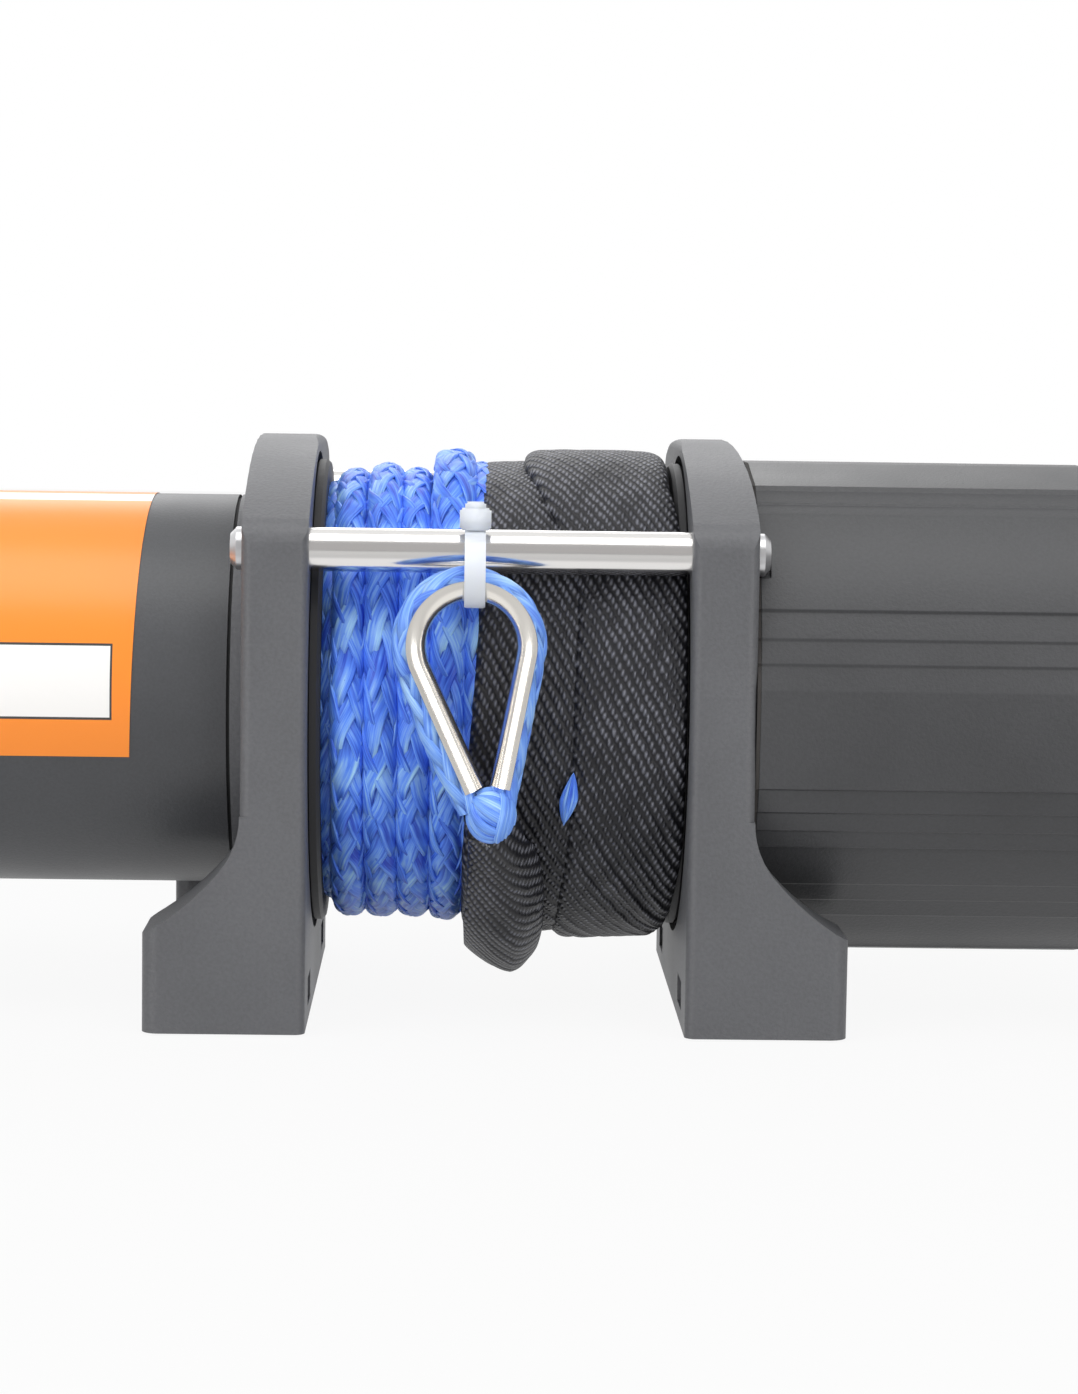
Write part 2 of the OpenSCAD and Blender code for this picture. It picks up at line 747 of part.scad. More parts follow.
// A coil spring of round wire along z, as one closed ribbon of rings
coil_sides = 6;
coil_rings = 14;
function coil_ring(r, wire, pitch, i) = let (a = 360 * i / coil_rings) [
    for (k = [0 : coil_sides - 1]) let (b = 360 * k / coil_sides)
        [(r + wire / 2 * cos(b)) * cos(a), (r + wire / 2 * cos(b)) * sin(a),
            pitch * i / coil_rings + wire / 2 * sin(b)]
];
module coil(r, wire, pitch, turns) {
    last = floor(turns * coil_rings);
    points = [for (i = [0 : last]) each coil_ring(r, wire, pitch, i)];
    sides = [for (i = [0 : last - 1], k = [0 : coil_sides - 1]) let (n = (k + 1) % coil_sides)
        [i * coil_sides + k, i * coil_sides + n, (i + 1) * coil_sides + n, (i + 1) * coil_sides + k]];
    ends = [[for (k = [coil_sides - 1 : -1 : 0]) k], [for (k = [0 : coil_sides - 1]) last * coil_sides + k]];
    polyhedron(points, concat(sides, ends));
}

module brush_springs() {
    wire = 0.9;
    turns = 4;
    room = brush_box_h - brush_wall + brush_lift - brush_h;
    color(steel) motor_side() brush_places() translate([commutator_r + brush_h + wire / 2 + slip_gap, 0, 0])
        rotate([0, 90, 0]) coil(brush_w / 2 - wire, wire, (room - wire - 2 * slip_gap) / turns, turns);
}

module stud_places() {
    for (side = [-1, 1]) translate([0, side * stud_y, stud_up]) children();
}
module terminal_studs() {
    color(gold) motor_side() stud_places() rod(can_end_x + cap_l - 2 * cap_wall, stud_l + 2 * cap_wall, stud_d / 2);
}
module terminal_washers() {
    color("black") motor_side() stud_places()
        tube(can_end_x + cap_l, washer_t, stud_nut_w / 2 + washer_t, stud_d / 2 + slip_gap);
}
module terminal_nuts() {
    color(gold) motor_side() stud_places() difference() {
        on_axis(can_end_x + cap_l + washer_t)
            cylinder(h = stud_nut_t, d = stud_nut_w / cos(30), $fn = 6);
        rod(can_end_x + cap_l, 2 * stud_nut_t, stud_d / 2 + run_gap);
    }
}

// Bands of the gear case outline: start and end angle above the front, the share of the nominal
// radius at each, and the number of steps between them
case_band_shares = [
    [90, 80, 0.926, 0.94, 1], [80, 58.9, 0.94, 0.993, 1], [57.8, 53.2, 0.982, 0.99, 1],
    [52.6, 48.8, 0.984, 1, 1], [47.8, 24, 1, 1, 8], [23.6, 17.6, 0.988, 0.995, 2],
    [17.1, 12.1, 0.987, 0.995, 2], [11.6, 6.6, 0.987, 0.996, 2], [6, -4.5, 0.996, 0.99, 1],
    [-4.5, -15.2, 0.99, 1, 1], [-15.7, -21.2, 0.982, 0.982, 1], [-21.7, -26.4, 0.968, 0.968, 1],
    [-26.9, -31.6, 0.954, 0.954, 1], [-32.4, -45, 0.928, 0.935, 3], [-45.5, -51.5, 0.929, 0.937, 1],
    [-52, -58, 0.932, 0.95, 1], [-58.6, -74, 0.945, 0.995, 3], [-75, -90, 1.004, 1.004, 2]
];
function band_points(b) = [
    for (i = [0 : b[4]]) let (
        a = b[0] + (b[1] - b[0]) * i / b[4],
        r = case_r * (b[2] + (b[3] - b[2]) * i / b[4])
    ) [-r * cos(a), r * sin(a)]
];
function case_half() = [for (b = case_band_shares) each band_points(b)];
module case_outline() {
    half = case_half();
    back = [for (i = [len(half) - 1 : -1 : 0]) [-half[i][0], half[i][1]]];
    translate([0, axis_z]) polygon(concat(half, back));
}

// Relief in the outline for the heads of the tie bar screws
module bar_head_room() {
    for (bar = bars) bar_at(bar, plate_x - over, over + bar_head_t + side_gap, bar_head_d + 2 * side_gap);
}

module case_gasket() {
    color("#6b5a44") difference() {
        side_slab(plate_x, gasket_t) case_outline();
        rod(plate_x - over, gasket_t + 2 * over, case_bore_r);
        bar_head_room();
        cover_bolt_places() rod(plate_x - over, gasket_t + 2 * over, cover_bolt_d / 2 + slip_gap);
    }
}

module gear_case() {
    color(cast_grey) difference() {
        side_slab(case_x, case_l) case_outline();
        rod(case_x - over, ring_end_x - case_x + over + side_gap, case_bore_r);
        rod(case_x - over, case_l + 2 * over, case_bore_r - case_lip);
        bar_head_room();
        cover_bolt_places() rod(case_x - over, case_l + 2 * over, cover_bolt_d / 2 + slip_gap);
    }
}

// Tooth flanks: half the angle of a tooth at a radius, from the involute of its base circle
function involute(a) = tan(a) * 180 / PI - a;
function half_tooth(teeth, r, thin) = let (
    pitch = teeth * tooth_m / 2,
    base = pitch * cos(tooth_angle)
) 90 / teeth - thin / pitch * 180 / PI + involute(tooth_angle) - (r > base ? involute(acos(base / r)) : 0);
flank_steps = 3;
function gear_points(teeth, tip, root, thin) = let (
    base = max(teeth * tooth_m / 2 * cos(tooth_angle), root)
) [for (i = [0 : teeth - 1]) each concat(
    [let (a = 360 * i / teeth - half_tooth(teeth, base, thin)) root * [cos(a), sin(a)]],
    [for (k = [0 : flank_steps]) let (
        r = base + (tip - base) * k / flank_steps,
        a = 360 * i / teeth - half_tooth(teeth, r, thin)
    ) r * [cos(a), sin(a)]],
    [for (k = [flank_steps : -1 : 0]) let (
        r = base + (tip - base) * k / flank_steps,
        a = 360 * i / teeth + half_tooth(teeth, r, thin)
    ) r * [cos(a), sin(a)]],
    [let (a = 360 * i / teeth + half_tooth(teeth, base, thin)) root * [cos(a), sin(a)]]
)];
module gear_shape(teeth) {
    pitch = teeth * tooth_m / 2;
    polygon(gear_points(teeth, pitch + addendum, pitch - dedendum, flank_gap));
}
module ring_teeth_shape() {
    pitch = ring_teeth * tooth_m / 2;
    polygon(gear_points(ring_teeth, pitch + dedendum, pitch - ring_addendum, -flank_gap));
}

// Angle of a planet or a sun at rest that brings its teeth into mesh with the ring
function planet_turn(place, teeth) = place * (1 - ring_teeth / teeth);
function sun_turn(sun, planet) = 180 * (planet - 1) / sun;

module dog_places(r) {
    for (i = [0 : dogs - 1]) rotate([0, 0, 360 * i / dogs]) translate([r, 0, 0]) children();
}

module ring_gear() {
    color(steel) difference() {
        rod(case_x, ring_end_x - case_x, ring_r);
        on_axis(case_x - over) linear_extrude(ring_end_x - case_x + 2 * over) ring_teeth_shape();
        on_axis(ring_end_x - dog_l - side_gap) dog_places(dog_r) cylinder(h = 2 * dog_l, d = dog_d + 2 * dog_gap);
    }
}

module gear_end_cover() {
    cover_share = 0.985;
    color(cast_grey) difference() {
        union() {
            translate([case_end_x, 0, axis_z]) scale([1, cover_share, cover_share]) translate([0, 0, -axis_z])
                side_slab(0, cover_t) case_outline();
            rod(cover_x, boss_h, boss_r);
        }
        rod(case_end_x - over, cover_t - boss_h + over, boss_pocket_r);
        rod(case_end_x - over, cover_t + boss_h + 2 * over, stem_r + slip_gap);
        cover_bolt_places() rod(case_end_x - over, cover_t + 2 * over, cover_bolt_d / 2 + slip_gap);
    }
}

module cover_bolts() {
    head_r_share = 0.77;
    head_h_share = 0.8;
    socket_share = 0.8;
    socket_floor_share = 0.3;
    color(steel) cover_bolt_places() {
        rod(plate_x - bar_seat + side_gap, cover_x - plate_x + bar_seat - side_gap, cover_bolt_d / 2);
        difference() {
            rod(cover_x, cover_bolt_d * head_h_share, cover_bolt_d * head_r_share);
            translate([cover_x + cover_bolt_d * socket_floor_share, 0, axis_z]) rotate([0, 90, 0])
                cylinder(h = cover_bolt_d, d = cover_bolt_d * socket_share, $fn = 6);
        }
    }
}

module key_places() {
    for (i = [0 : keys - 1]) rotate([0, 0, 360 * i / keys]) children();
}

module drum() {
    lip = flange_t / 4;
    flange_out = flange_x + flange_t;
    half = [
        [hollow_r, neck_x], [neck_r, neck_x], [neck_r, flange_out], [flange_r - lip, flange_out],
        [flange_r, flange_out - lip], [flange_r, flange_x + lip], [flange_r - lip, flange_x],
        [barrel_r, flange_x]
    ];
    other = [for (i = [len(half) - 1 : -1 : 0]) [half[i][0], -half[i][1]]];
    color(dark_steel) difference() {
        on_axis(0) rotate_extrude() polygon(concat(half, other));
        on_axis(key_x - slip_gap) key_places() translate([0, -key_w / 2 - key_gap, 0])
            cube([hollow_r + key_h + key_gap, key_w + 2 * key_gap, neck_x]);
        translate([-flange_x + wrap_w / 2, 0, axis_z]) cylinder(h = barrel_r + over, d = anchor_d + 2 * run_gap);
    }
}
anchor_d = 4;
module rope_set_screw() {
    color(dark_steel) translate([-flange_x + wrap_w / 2, 0, axis_z + hollow_r + run_gap]) difference() {
        cylinder(h = barrel_r - hollow_r - 2 * run_gap, d = anchor_d);
        translate([0, 0, (barrel_r - hollow_r) / 2]) cylinder(h = barrel_r, d = anchor_d / 2, $fn = 6);
    }
}

// Outline of wraps lying side by side: for each, its start and end and the radius over it
function wrap_points(w) = [
    for (k = [0 : bump_steps]) let (t = k / bump_steps)
        [w[2] - bump * pow(2 * t - 1, 2), w[0] + (w[1] - w[0]) * t]
];
module wraps(list) {
    on_axis(0) rotate_extrude() polygon(concat(
        [[barrel_r + run_gap, list[0][0]]],
        [for (w = list) each wrap_points(w)],
        [[barrel_r + run_gap, list[len(list) - 1][1]]]
    ));
}
module blue_rope_wraps() {
    start = -flange_x + wrap_gap;
    end = split_x - split_gap;
    crossing = end - 2 * wrap_w;
    color(rope_blue) wraps([
        [start, start + wrap_w, rope_pack_r - bump], [start + wrap_w, start + 2 * wrap_w, rope_pack_r],
        [start + 2 * wrap_w, crossing, rope_pack_r], [crossing, crossing + wrap_w - run_gap, crossing_r],
        [crossing + wrap_w, end, waist_r]
    ]);
}
module sleeved_wraps() {
    start = split_x + split_gap;
    end = flange_x - wrap_gap;
    color(rope_black) wraps([[start, start + sleeve_w, sleeve_pack_r], [start + sleeve_w, end, sleeve_pack_r - run_gap]]);
}

// Carrier plates, pillars and pins of one planet stage
module carrier(x0, plate, gear_x, back_x, arm, pin_turn, hole_r) {
    color(dark_steel) difference() {
        union() {
            rod(x0, plate, carrier_r);
            rod(back_x, carrier_plate, carrier_r);
            on_axis(x0) for (i = [0 : planets - 1]) {
                rotate([0, 0, pin_turn + 360 * i / planets]) translate([arm, 0, 0])
                    cylinder(h = back_x - x0 + over, r = pin_r);
                rotate([0, 0, pin_turn + 360 * (i + 0.5) / planets]) translate([pillar_ring_r, 0, 0])
                    cylinder(h = back_x - x0 + over, r = pillar_r);
            }
            children();
        }
        rod(x0 - over, plate + 2 * over, hole_r);
        rod(back_x - over, carrier_plate + 2 * over, back_hole(arm));
    }
}
back_rim = 2;
function back_hole(arm) = arm - pin_r - back_rim;

module output_carrier() {
    hub_reach = 2;
    hub_x = inner_x - hub_reach;
    color(dark_steel) difference() {
        union() {
            carrier(output_x, output_plate, output_gear_x, output_back_x, output_planet_r, 0, shaft_bore_r);
            rod(hub_x, output_x - hub_x + over, hub_r);
            on_axis(key_x) key_places() translate([0, -key_w / 2, 0])
                cube([hollow_r + key_h, key_w, neck_x - key_x]);
        }
        rod(hub_x - over, output_x - hub_x + output_plate + 2 * over, shaft_bore_r);
    }
}

module sun(teeth, planet, x0, l) {
    on_axis(x0) rotate([0, 0, sun_turn(teeth, planet)]) linear_extrude(l) gear_shape(teeth);
}
module second_carrier() {
    color(dark_steel) difference() {
        union() {
            carrier(second_x, carrier_plate, second_gear_x, second_back_x, planet_r, 0, shaft_bore_r);
            sun(output_sun_teeth, output_planet_teeth, output_gear_x, second_x - output_gear_x + over);
        }
        rod(output_gear_x - over, second_x - output_gear_x + carrier_plate + 2 * over, shaft_bore_r);
    }
}
module first_carrier() {
    color(dark_steel) difference() {
        union() {
            carrier(first_x, carrier_plate, first_gear_x, first_back_x, planet_r, 0, shaft_bore_r);
            sun(sun_teeth, planet_teeth, second_gear_x, first_x - second_gear_x + over);
        }
        rod(second_gear_x - over, first_x - second_gear_x + carrier_plate + 2 * over, shaft_bore_r);
    }
}

module planet(i, teeth, arm, x0, l) {
    place = 360 * i / planets;
    color(steel) on_axis(x0) rotate([0, 0, place]) translate([arm, 0, 0])
        rotate([0, 0, planet_turn(place, teeth) - place]) difference() {
            linear_extrude(l) gear_shape(teeth);
            translate([0, 0, -over]) cylinder(h = l + 2 * over, r = pin_r + run_gap);
        }
}
module first_planet(i) planet(i, planet_teeth, planet_r, first_gear_x, first_face);
module second_planet(i) planet(i, planet_teeth, planet_r, second_gear_x, second_face);
module output_planet(i) planet(i, output_planet_teeth, output_planet_r, output_gear_x, output_face);

module hex_bar(x0, l, af) {
    on_axis(x0) cylinder(h = l, d = af / cos(30), $fn = 6);
}
module input_sun_gear() {
    color(steel) difference() {
        sun(sun_teeth, planet_teeth, first_gear_x, first_face);
        hex_bar(first_gear_x - over, first_face + 2 * over, hex_af + 2 * run_gap);
    }
}
module hex_drive_shaft() {
    color(steel) hex_bar(hex_x, hex_end_x - hex_x, hex_af);
}

coupling_mid = 4.2;
shaft_x = -inner_x - coupling_mid;
coupling_r = 11;
coupling_l = 18;
module shaft_coupling() {
    coupling_x = shaft_x - coupling_l / 3;
    color(dark_steel) difference() {
        rod(coupling_x, coupling_l, coupling_r);
        rod(coupling_x - over, shaft_x - coupling_x + over, shaft_d / 2 + run_gap);
        hex_bar(shaft_x - over, coupling_l + 2 * over, hex_af + 2 * run_gap);
    }
}
module armature_shaft() {
    end = -can_end_x - cap_l + cap_wall + side_gap;
    color(steel) rod(end, shaft_x - run_gap - end, shaft_d / 2);
}
module slot_places() {
    for (i = [0 : slots - 1]) rotate([0, 0, 360 * (i + 0.5) / slots]) children();
}
module armature_core() {
    mouth_share = 0.3;
    color(dark_steel) motor_side() difference() {
        rod(core_x, core_l, core_r);
        rod(core_x - over, core_l + 2 * over, shaft_d / 2 + run_gap);
        on_axis(core_x - over) slot_places() {
            translate([core_r - slot_depth, -slot_w / 2, 0])
                cube([slot_depth - slot_lip, slot_w, core_l + 2 * over]);
            translate([core_r - slot_depth, -slot_w * mouth_share / 2, 0])
                cube([slot_depth + over, slot_w * mouth_share, core_l + 2 * over]);
        }
    }
}
module armature_windings() {
    winding_edge = 1;
    ring_out = core_r - slot_lip - winding_edge;
    ring_in = core_r - slot_depth;
    color(copper) motor_side() {
        on_axis(core_x - turns_l) slot_places() translate([ring_in + slip_gap, -slot_w / 2 + slip_gap, 0])
            cube([slot_depth - slot_lip - 2 * slip_gap, slot_w - 2 * slip_gap, core_l + 2 * turns_l]);
        for (x = [core_x - turns_l, core_end_x + slip_gap]) {
            on_axis(x) rotate_extrude() polygon([
                [ring_in, 0], [ring_out - winding_edge, 0], [ring_out, winding_edge], [ring_out, turns_l - slip_gap],
                [shaft_d, turns_l - slip_gap], [shaft_d, turns_l / 2]
            ]);
        }
    }
}
module commutator() {
    slit = 0.3;
    slit_depth = 1;
    color(copper) motor_side() difference() {
        tube(commutator_x, commutator_l, commutator_r, shaft_d / 2 + run_gap);
        on_axis(commutator_x - over) for (i = [0 : 2 * slots - 1]) {
            rotate([0, 0, 180 * i / slots]) translate([commutator_r - slit_depth, -slit / 3, 0])
                cube([slit_depth + over, slit, commutator_l + 2 * over]);
        }
    }
}

brake_x = -20;
brake_l = 22;
brake_hub_r = 12;
brake_gap = 0.5;
brake_core_r = 9;
brake_lining_r = hollow_r - brake_gap;
module brake_hub() {
    flat_share = 0.7;
    color(dark_steel) difference() {
        union() {
            rod(brake_x, brake_l + spring_room, brake_core_r);
            on_axis(brake_x) intersection() {
                cylinder(h = brake_l, r = brake_hub_r);
                translate([-brake_hub_r, -brake_hub_r * flat_share, 0])
                    cube([2 * brake_hub_r, 2 * brake_hub_r * flat_share, brake_l]);
            }
        }
        hex_bar(brake_x - over, brake_l + spring_room + 2 * over, hex_af + 2 * run_gap);
    }
}
spring_room = 12;
module brake_shoes() {
    shoe_arc = 164;
    color("#4a4038") on_axis(brake_x) for (side = [0, 180]) {
        rotate([0, 0, side + 90 - shoe_arc / 2]) rotate_extrude(angle = shoe_arc)
            translate([brake_hub_r + slip_gap, 0]) square([brake_lining_r - brake_hub_r - slip_gap, brake_l]);
    }
}
module brake_spring() {
    wire = 2;
    turns = 4;
    color(steel) on_axis(brake_x + brake_l + wire / 2 + side_gap)
        coil(brake_core_r + wire / 2 + side_gap, wire, (spring_room - 2 * wire) / turns, turns);
}

// Teardrop of the thimble and of the rope in it: a round crown, and two legs tangent to it. Each
// station along it is a place on its outer edge and the direction that points out of it there. A
// section is swept along it: its first half lies on one side, and its second half folds back
crown_steps = 24;
leg_drop = thimble_h - thimble_w / 2;
leg_turn = acos(thimble_w / 2 / norm([leg_spread, leg_drop])) - atan2(leg_drop, leg_spread);
leg_l = sqrt(pow(norm([leg_spread, leg_drop]), 2) - pow(thimble_w / 2, 2));
function crown_station(a) = [thimble_w / 2 * [cos(a), sin(a)], a];
function leg_station(a, run) = [crown_station(a)[0] + run * [sin(a), -cos(a)], a];
function teardrop_stations(run_on) = concat(
    [leg_station(leg_turn, leg_l + run_on)],
    [for (i = [0 : crown_steps]) crown_station(leg_turn + (180 - 2 * leg_turn) * i / crown_steps)],
    [leg_station(180 - leg_turn, -leg_l - run_on)]
);
module teardrop(run_on, section) {
    stations = teardrop_stations(run_on);
    sides = len(section);
    last = len(stations) - 1;
    points = [for (s = stations, q = section) [
        s[0][0] + q[0] * cos(s[1]), s[0][1] + q[0] * sin(s[1]), q[1]
    ]];
    skin = [for (i = [0 : last - 1], k = [0 : sides - 1]) let (n = (k + 1) % sides)
        [i * sides + k, i * sides + n, (i + 1) * sides + n, (i + 1) * sides + k]];
    folds = [for (k = [0 : sides / 2 - 2]) [k, k + 1, sides - 2 - k, sides - 1 - k]];
    start = [for (f = folds) [f[3], f[2], f[1], f[0]]];
    end = [for (f = folds) [for (k = f) last * sides + k]];
    translate([-thimble_x, thimble_y, crown_centre_z]) rotate([90, -thimble_tilt, 0])
        polyhedron(points, concat(skin, start, end));
}
gutter_steps = 10;
function gutter_half(r, from, to) = [for (i = [0 : gutter_steps]) let (a = from + (to - from) * i / gutter_steps)
    [-lip_l - r * cos(a), r * sin(a)]];
module thimble() {
    inside_r = gutter_r - thimble_sheet;
    color(steel) teardrop(0, concat(
        [[0, gutter_r]], gutter_half(gutter_r, 90, -90), [[0, -gutter_r]],
        [[0, -inside_r]], gutter_half(inside_r, -90, 90), [[0, inside_r]]
    ));
}
// The splice below the eye, grown by a gap where it seats in the sleeve
module splice(gap) {
    base_z = thimble_w / 2 - thimble_h;
    translate([-thimble_x, thimble_y, crown_centre_z]) rotate([0, -thimble_tilt, 0]) {
        translate([0, 0, base_z - splice_r - side_gap]) sphere(r = splice_r + gap, $fn = 32);
        translate([0, 0, base_z - 2 * rope_d - gap]) cylinder(h = rope_d + gap, r = rope_d / 2 + gap);
    }
}
module rope_eye() {
    eye_sides = 14;
    color(rope_blue) {
        teardrop(splice_r - side_gap, [for (k = [0 : eye_sides - 1]) let (a = 360 * k / eye_sides)
            [eye_r * cos(a) - lip_l, eye_r * sin(a)]]);
        splice(0);
    }
}

module tail_profile() {
    round_r = tail_t / 2 - slip_gap;
    intersection() {
        square([tail_t, tail_w], center = true);
        union() {
            square([2 * tail_t, tail_w - 2 * round_r], center = true);
            for (z = [-1, 1]) translate([0, z * (tail_w / 2 - round_r)]) circle(r = round_r);
        }
    }
}
// The flat sleeve: an arc under the drum, and a straight run up to its mouth at the splice
module tail_sleeve() {
    mid_r = sleeve_pack_r + pack_gap + tail_t / 2;
    color(rope_black) difference() {
        translate([tail_x, 0, axis_z - tail_drop]) rotate([0, 90, 0]) rotate([0, 0, tail_from - 90]) {
            rotate_extrude(angle = tail_sweep) translate([mid_r, 0]) tail_profile();
            rotate([90, 0, 0]) linear_extrude(tail_run) translate([mid_r, 0]) tail_profile();
        }
        splice(slip_gap);
    }
}

module cable_tie() {
    bar = bars[0];
    crown = [thimble_y, thimble_top - gutter_w - tie_slack + tie_loop];
    bar_loop = bar_d / 2 + slip_gap;
    head = [bar[0] - tie_head[1] - tie_set, bar[1] + bar_loop];
    color(nylon) {
        side_slab(tie_x - tie_w / 2, tie_w) difference() {
            hull() {
                translate(bar) circle(r = bar_loop + tie_t);
                translate(crown) circle(r = tie_loop + tie_t);
            }
            hull() {
                translate(bar) circle(r = bar_loop);
                translate(crown) circle(r = tie_loop);
            }
        }
        translate([tie_x - tie_head[0] / 2, head[0], head[1] - slip_gap]) cube(tie_head);
        translate([tie_x - tie_w / 2, head[0] + tie_t, head[1]]) cube([tie_w, tie_t, tie_head[2] + tie_t]);
    }
}

module slot_window(i) {
    turn = 90 * i / slot_steps;
    x = cross_pin_x - clutch_travel * i / slot_steps;
    half = cross_pin_r + slot_gap;
    on_axis(x) rotate([0, 0, turn]) translate([-slider_hub_r - over, -half, -half])
        cube([2 * slider_hub_r + 2 * over, 2 * half, 2 * half]);
}
module clutch_slider() {
    window_share = 0.45;
    window_place_share = 0.55;
    color(dark_steel) difference() {
        union() {
            rod(slider_x, slider_t, slider_r);
            rod(slider_x, slider_t + slider_hub_l, slider_hub_r);
            on_axis(slider_x - dog_l - side_gap) dog_places(dog_r) cylinder(h = dog_l + over, d = dog_d);
        }
        rod(slider_x - over, slider_t + slider_hub_l + 2 * over, stem_r + slip_gap);
        for (i = [0 : slot_steps]) slot_window(i);
        on_axis(slider_x - over) rotate([0, 0, 30]) dog_places(slider_r * window_place_share)
            cylinder(h = slider_t + 2 * over, r = slider_r * window_share / 2);
    }
}
module clutch_knob() {
    grips = 10;
    grip_r = 3;
    stem_x = slider_x + slider_t;
    color("#222224") {
        on_axis(knob_x) difference() {
            cylinder(h = knob_h, d = knob_d);
            for (i = [0 : grips - 1]) rotate([0, 0, 360 * i / grips]) translate([knob_d / 2 + grip_r / 2, 0, -over])
                cylinder(h = knob_h + 2 * over, r = grip_r, $fn = 32);
        }
        rod(stem_x, knob_x - stem_x + over, stem_r);
        on_axis(cross_pin_x) rotate([0, 90, 0]) cylinder(h = cross_pin_l, r = cross_pin_r, center = true);
    }
}

motor_end_support();
gear_end_support();
front_tie_bar();
rear_tie_bar();
tie_bar_screws();
mounting_nuts();
motor_side_bush();
gear_side_bush();
motor_seal();
motor_can();
motor_label();
field_magnets();
motor_end_cap();
motor_bolts();
front_bearing();
rear_bush();
brush_holder();
carbon_brushes();
brush_springs();
terminal_studs();
terminal_washers();
terminal_nuts();
case_gasket();
gear_case();
ring_gear();
gear_end_cover();
cover_bolts();
drum();
blue_rope_wraps();
sleeved_wraps();
rope_set_screw();
output_carrier();
tail_sleeve();
rope_eye();
thimble();
cable_tie();
armature_shaft();
armature_core();
armature_windings();
commutator();
shaft_coupling();
hex_drive_shaft();
input_sun_gear();
brake_hub();
brake_shoes();
brake_spring();
first_carrier();
second_carrier();
first_planet(0);  // first_planet_a
first_planet(1);  // first_planet_b
first_planet(2);  // first_planet_c
second_planet(0);  // second_planet_a
second_planet(1);  // second_planet_b
second_planet(2);  // second_planet_c
output_planet(0);  // output_planet_a
output_planet(1);  // output_planet_b
output_planet(2);  // output_planet_c
clutch_slider();
clutch_knob();
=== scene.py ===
import math

import bmesh
import bpy
import numpy as np
from mathutils import Matrix, Vector


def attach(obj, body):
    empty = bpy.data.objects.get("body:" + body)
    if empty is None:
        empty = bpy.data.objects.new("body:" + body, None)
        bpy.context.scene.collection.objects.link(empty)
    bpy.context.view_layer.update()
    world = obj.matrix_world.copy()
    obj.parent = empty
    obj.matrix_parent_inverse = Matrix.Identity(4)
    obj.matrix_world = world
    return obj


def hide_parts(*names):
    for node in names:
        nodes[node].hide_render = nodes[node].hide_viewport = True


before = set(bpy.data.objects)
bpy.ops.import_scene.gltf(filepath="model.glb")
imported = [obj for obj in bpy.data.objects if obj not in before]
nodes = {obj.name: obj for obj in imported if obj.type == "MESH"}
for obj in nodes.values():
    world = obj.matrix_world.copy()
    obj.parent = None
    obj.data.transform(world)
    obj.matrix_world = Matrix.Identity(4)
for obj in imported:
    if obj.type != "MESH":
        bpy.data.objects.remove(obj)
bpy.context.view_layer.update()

# The camera stands level with the winch in front of the drum and looks slightly down.
# It was worked out from the straight edges of the picture, so the frame matches it unshifted.
turned, dipped, rolled = 0.0222013, 0.0977655, 0.0147134
camera = bpy.data.objects.new("camera", bpy.data.cameras.new("camera"))
bpy.context.scene.collection.objects.link(camera)
camera.data.sensor_fit = "HORIZONTAL"
camera.data.sensor_width = 36
camera.data.lens = 116.85
look = Vector((math.sin(turned) * math.cos(dipped), math.cos(turned) * math.cos(dipped), -math.sin(dipped)))
level = Vector((math.cos(turned), -math.sin(turned), 0))
raised = level.cross(look)
across = level * math.cos(rolled) + raised * math.sin(rolled)
upward = raised * math.cos(rolled) - level * math.sin(rolled)
camera.matrix_world = Matrix((
    (across.x, upward.x, -look.x, -0.008476),
    (across.y, upward.y, -look.y, -0.846126),
    (across.z, upward.z, -look.z, 0.154971),
    (0, 0, 0, 1),
))
bpy.context.scene.camera = camera


# The studio: a white floor and a white sky for the camera, and large soft lamps. The key
# lamp hangs above and a little in front, so tops are brightest and the undersides go dark. The
# paper is light only round the winch, so bright metal shows a grey band between two white ones.
def add(tree, kind, values=None, **settings):
    """A shader node with these settings, and with values on its inputs."""
    made = tree.nodes.new("ShaderNode" + kind)
    for setting, value in settings.items():
        setattr(made, setting, value)
    for socket, value in (values or {}).items():
        made.inputs[socket].default_value = value
    return made


def wire(tree, *runs):
    """Links, each given as a node and its output, or an output alone, then a node and its input."""
    for *source, target, socket in runs:
        output = source[0].outputs[source[1]] if len(source) == 2 else source[0]
        tree.links.new(output, target.inputs[socket])


def calc(tree, operation, *terms):
    """The output of a math node. Each term is a number or another node's output."""
    made = add(tree, "Math", operation=operation)
    for socket, term in enumerate(terms):
        if isinstance(term, (int, float)):
            made.inputs[socket].default_value = term
        else:
            tree.links.new(term, made.inputs[socket])
    return made.outputs[0]


def colour_ramp(tree, *stops):
    """A colour ramp with stops of place and colour, in order."""
    made = add(tree, "ValToRGB")
    band = made.color_ramp.elements
    for end in (0, -1):
        band[end].position, band[end].color = stops[end][0], (*stops[end][1], 1)
    for place, colour in stops[1:-1]:
        band.new(place).color = (*colour, 1)
    return made


def white_share(tree, tone):
    """All for the camera's own rays, and as much as tone for those that metal and glass send on."""
    path = add(tree, "LightPath")
    shiny = calc(tree, "MAXIMUM", path.outputs["Is Glossy Ray"], path.outputs["Is Transmission Ray"])
    return calc(tree, "MAXIMUM", calc(tree, "MULTIPLY", shiny, tone), path.outputs["Is Camera Ray"])


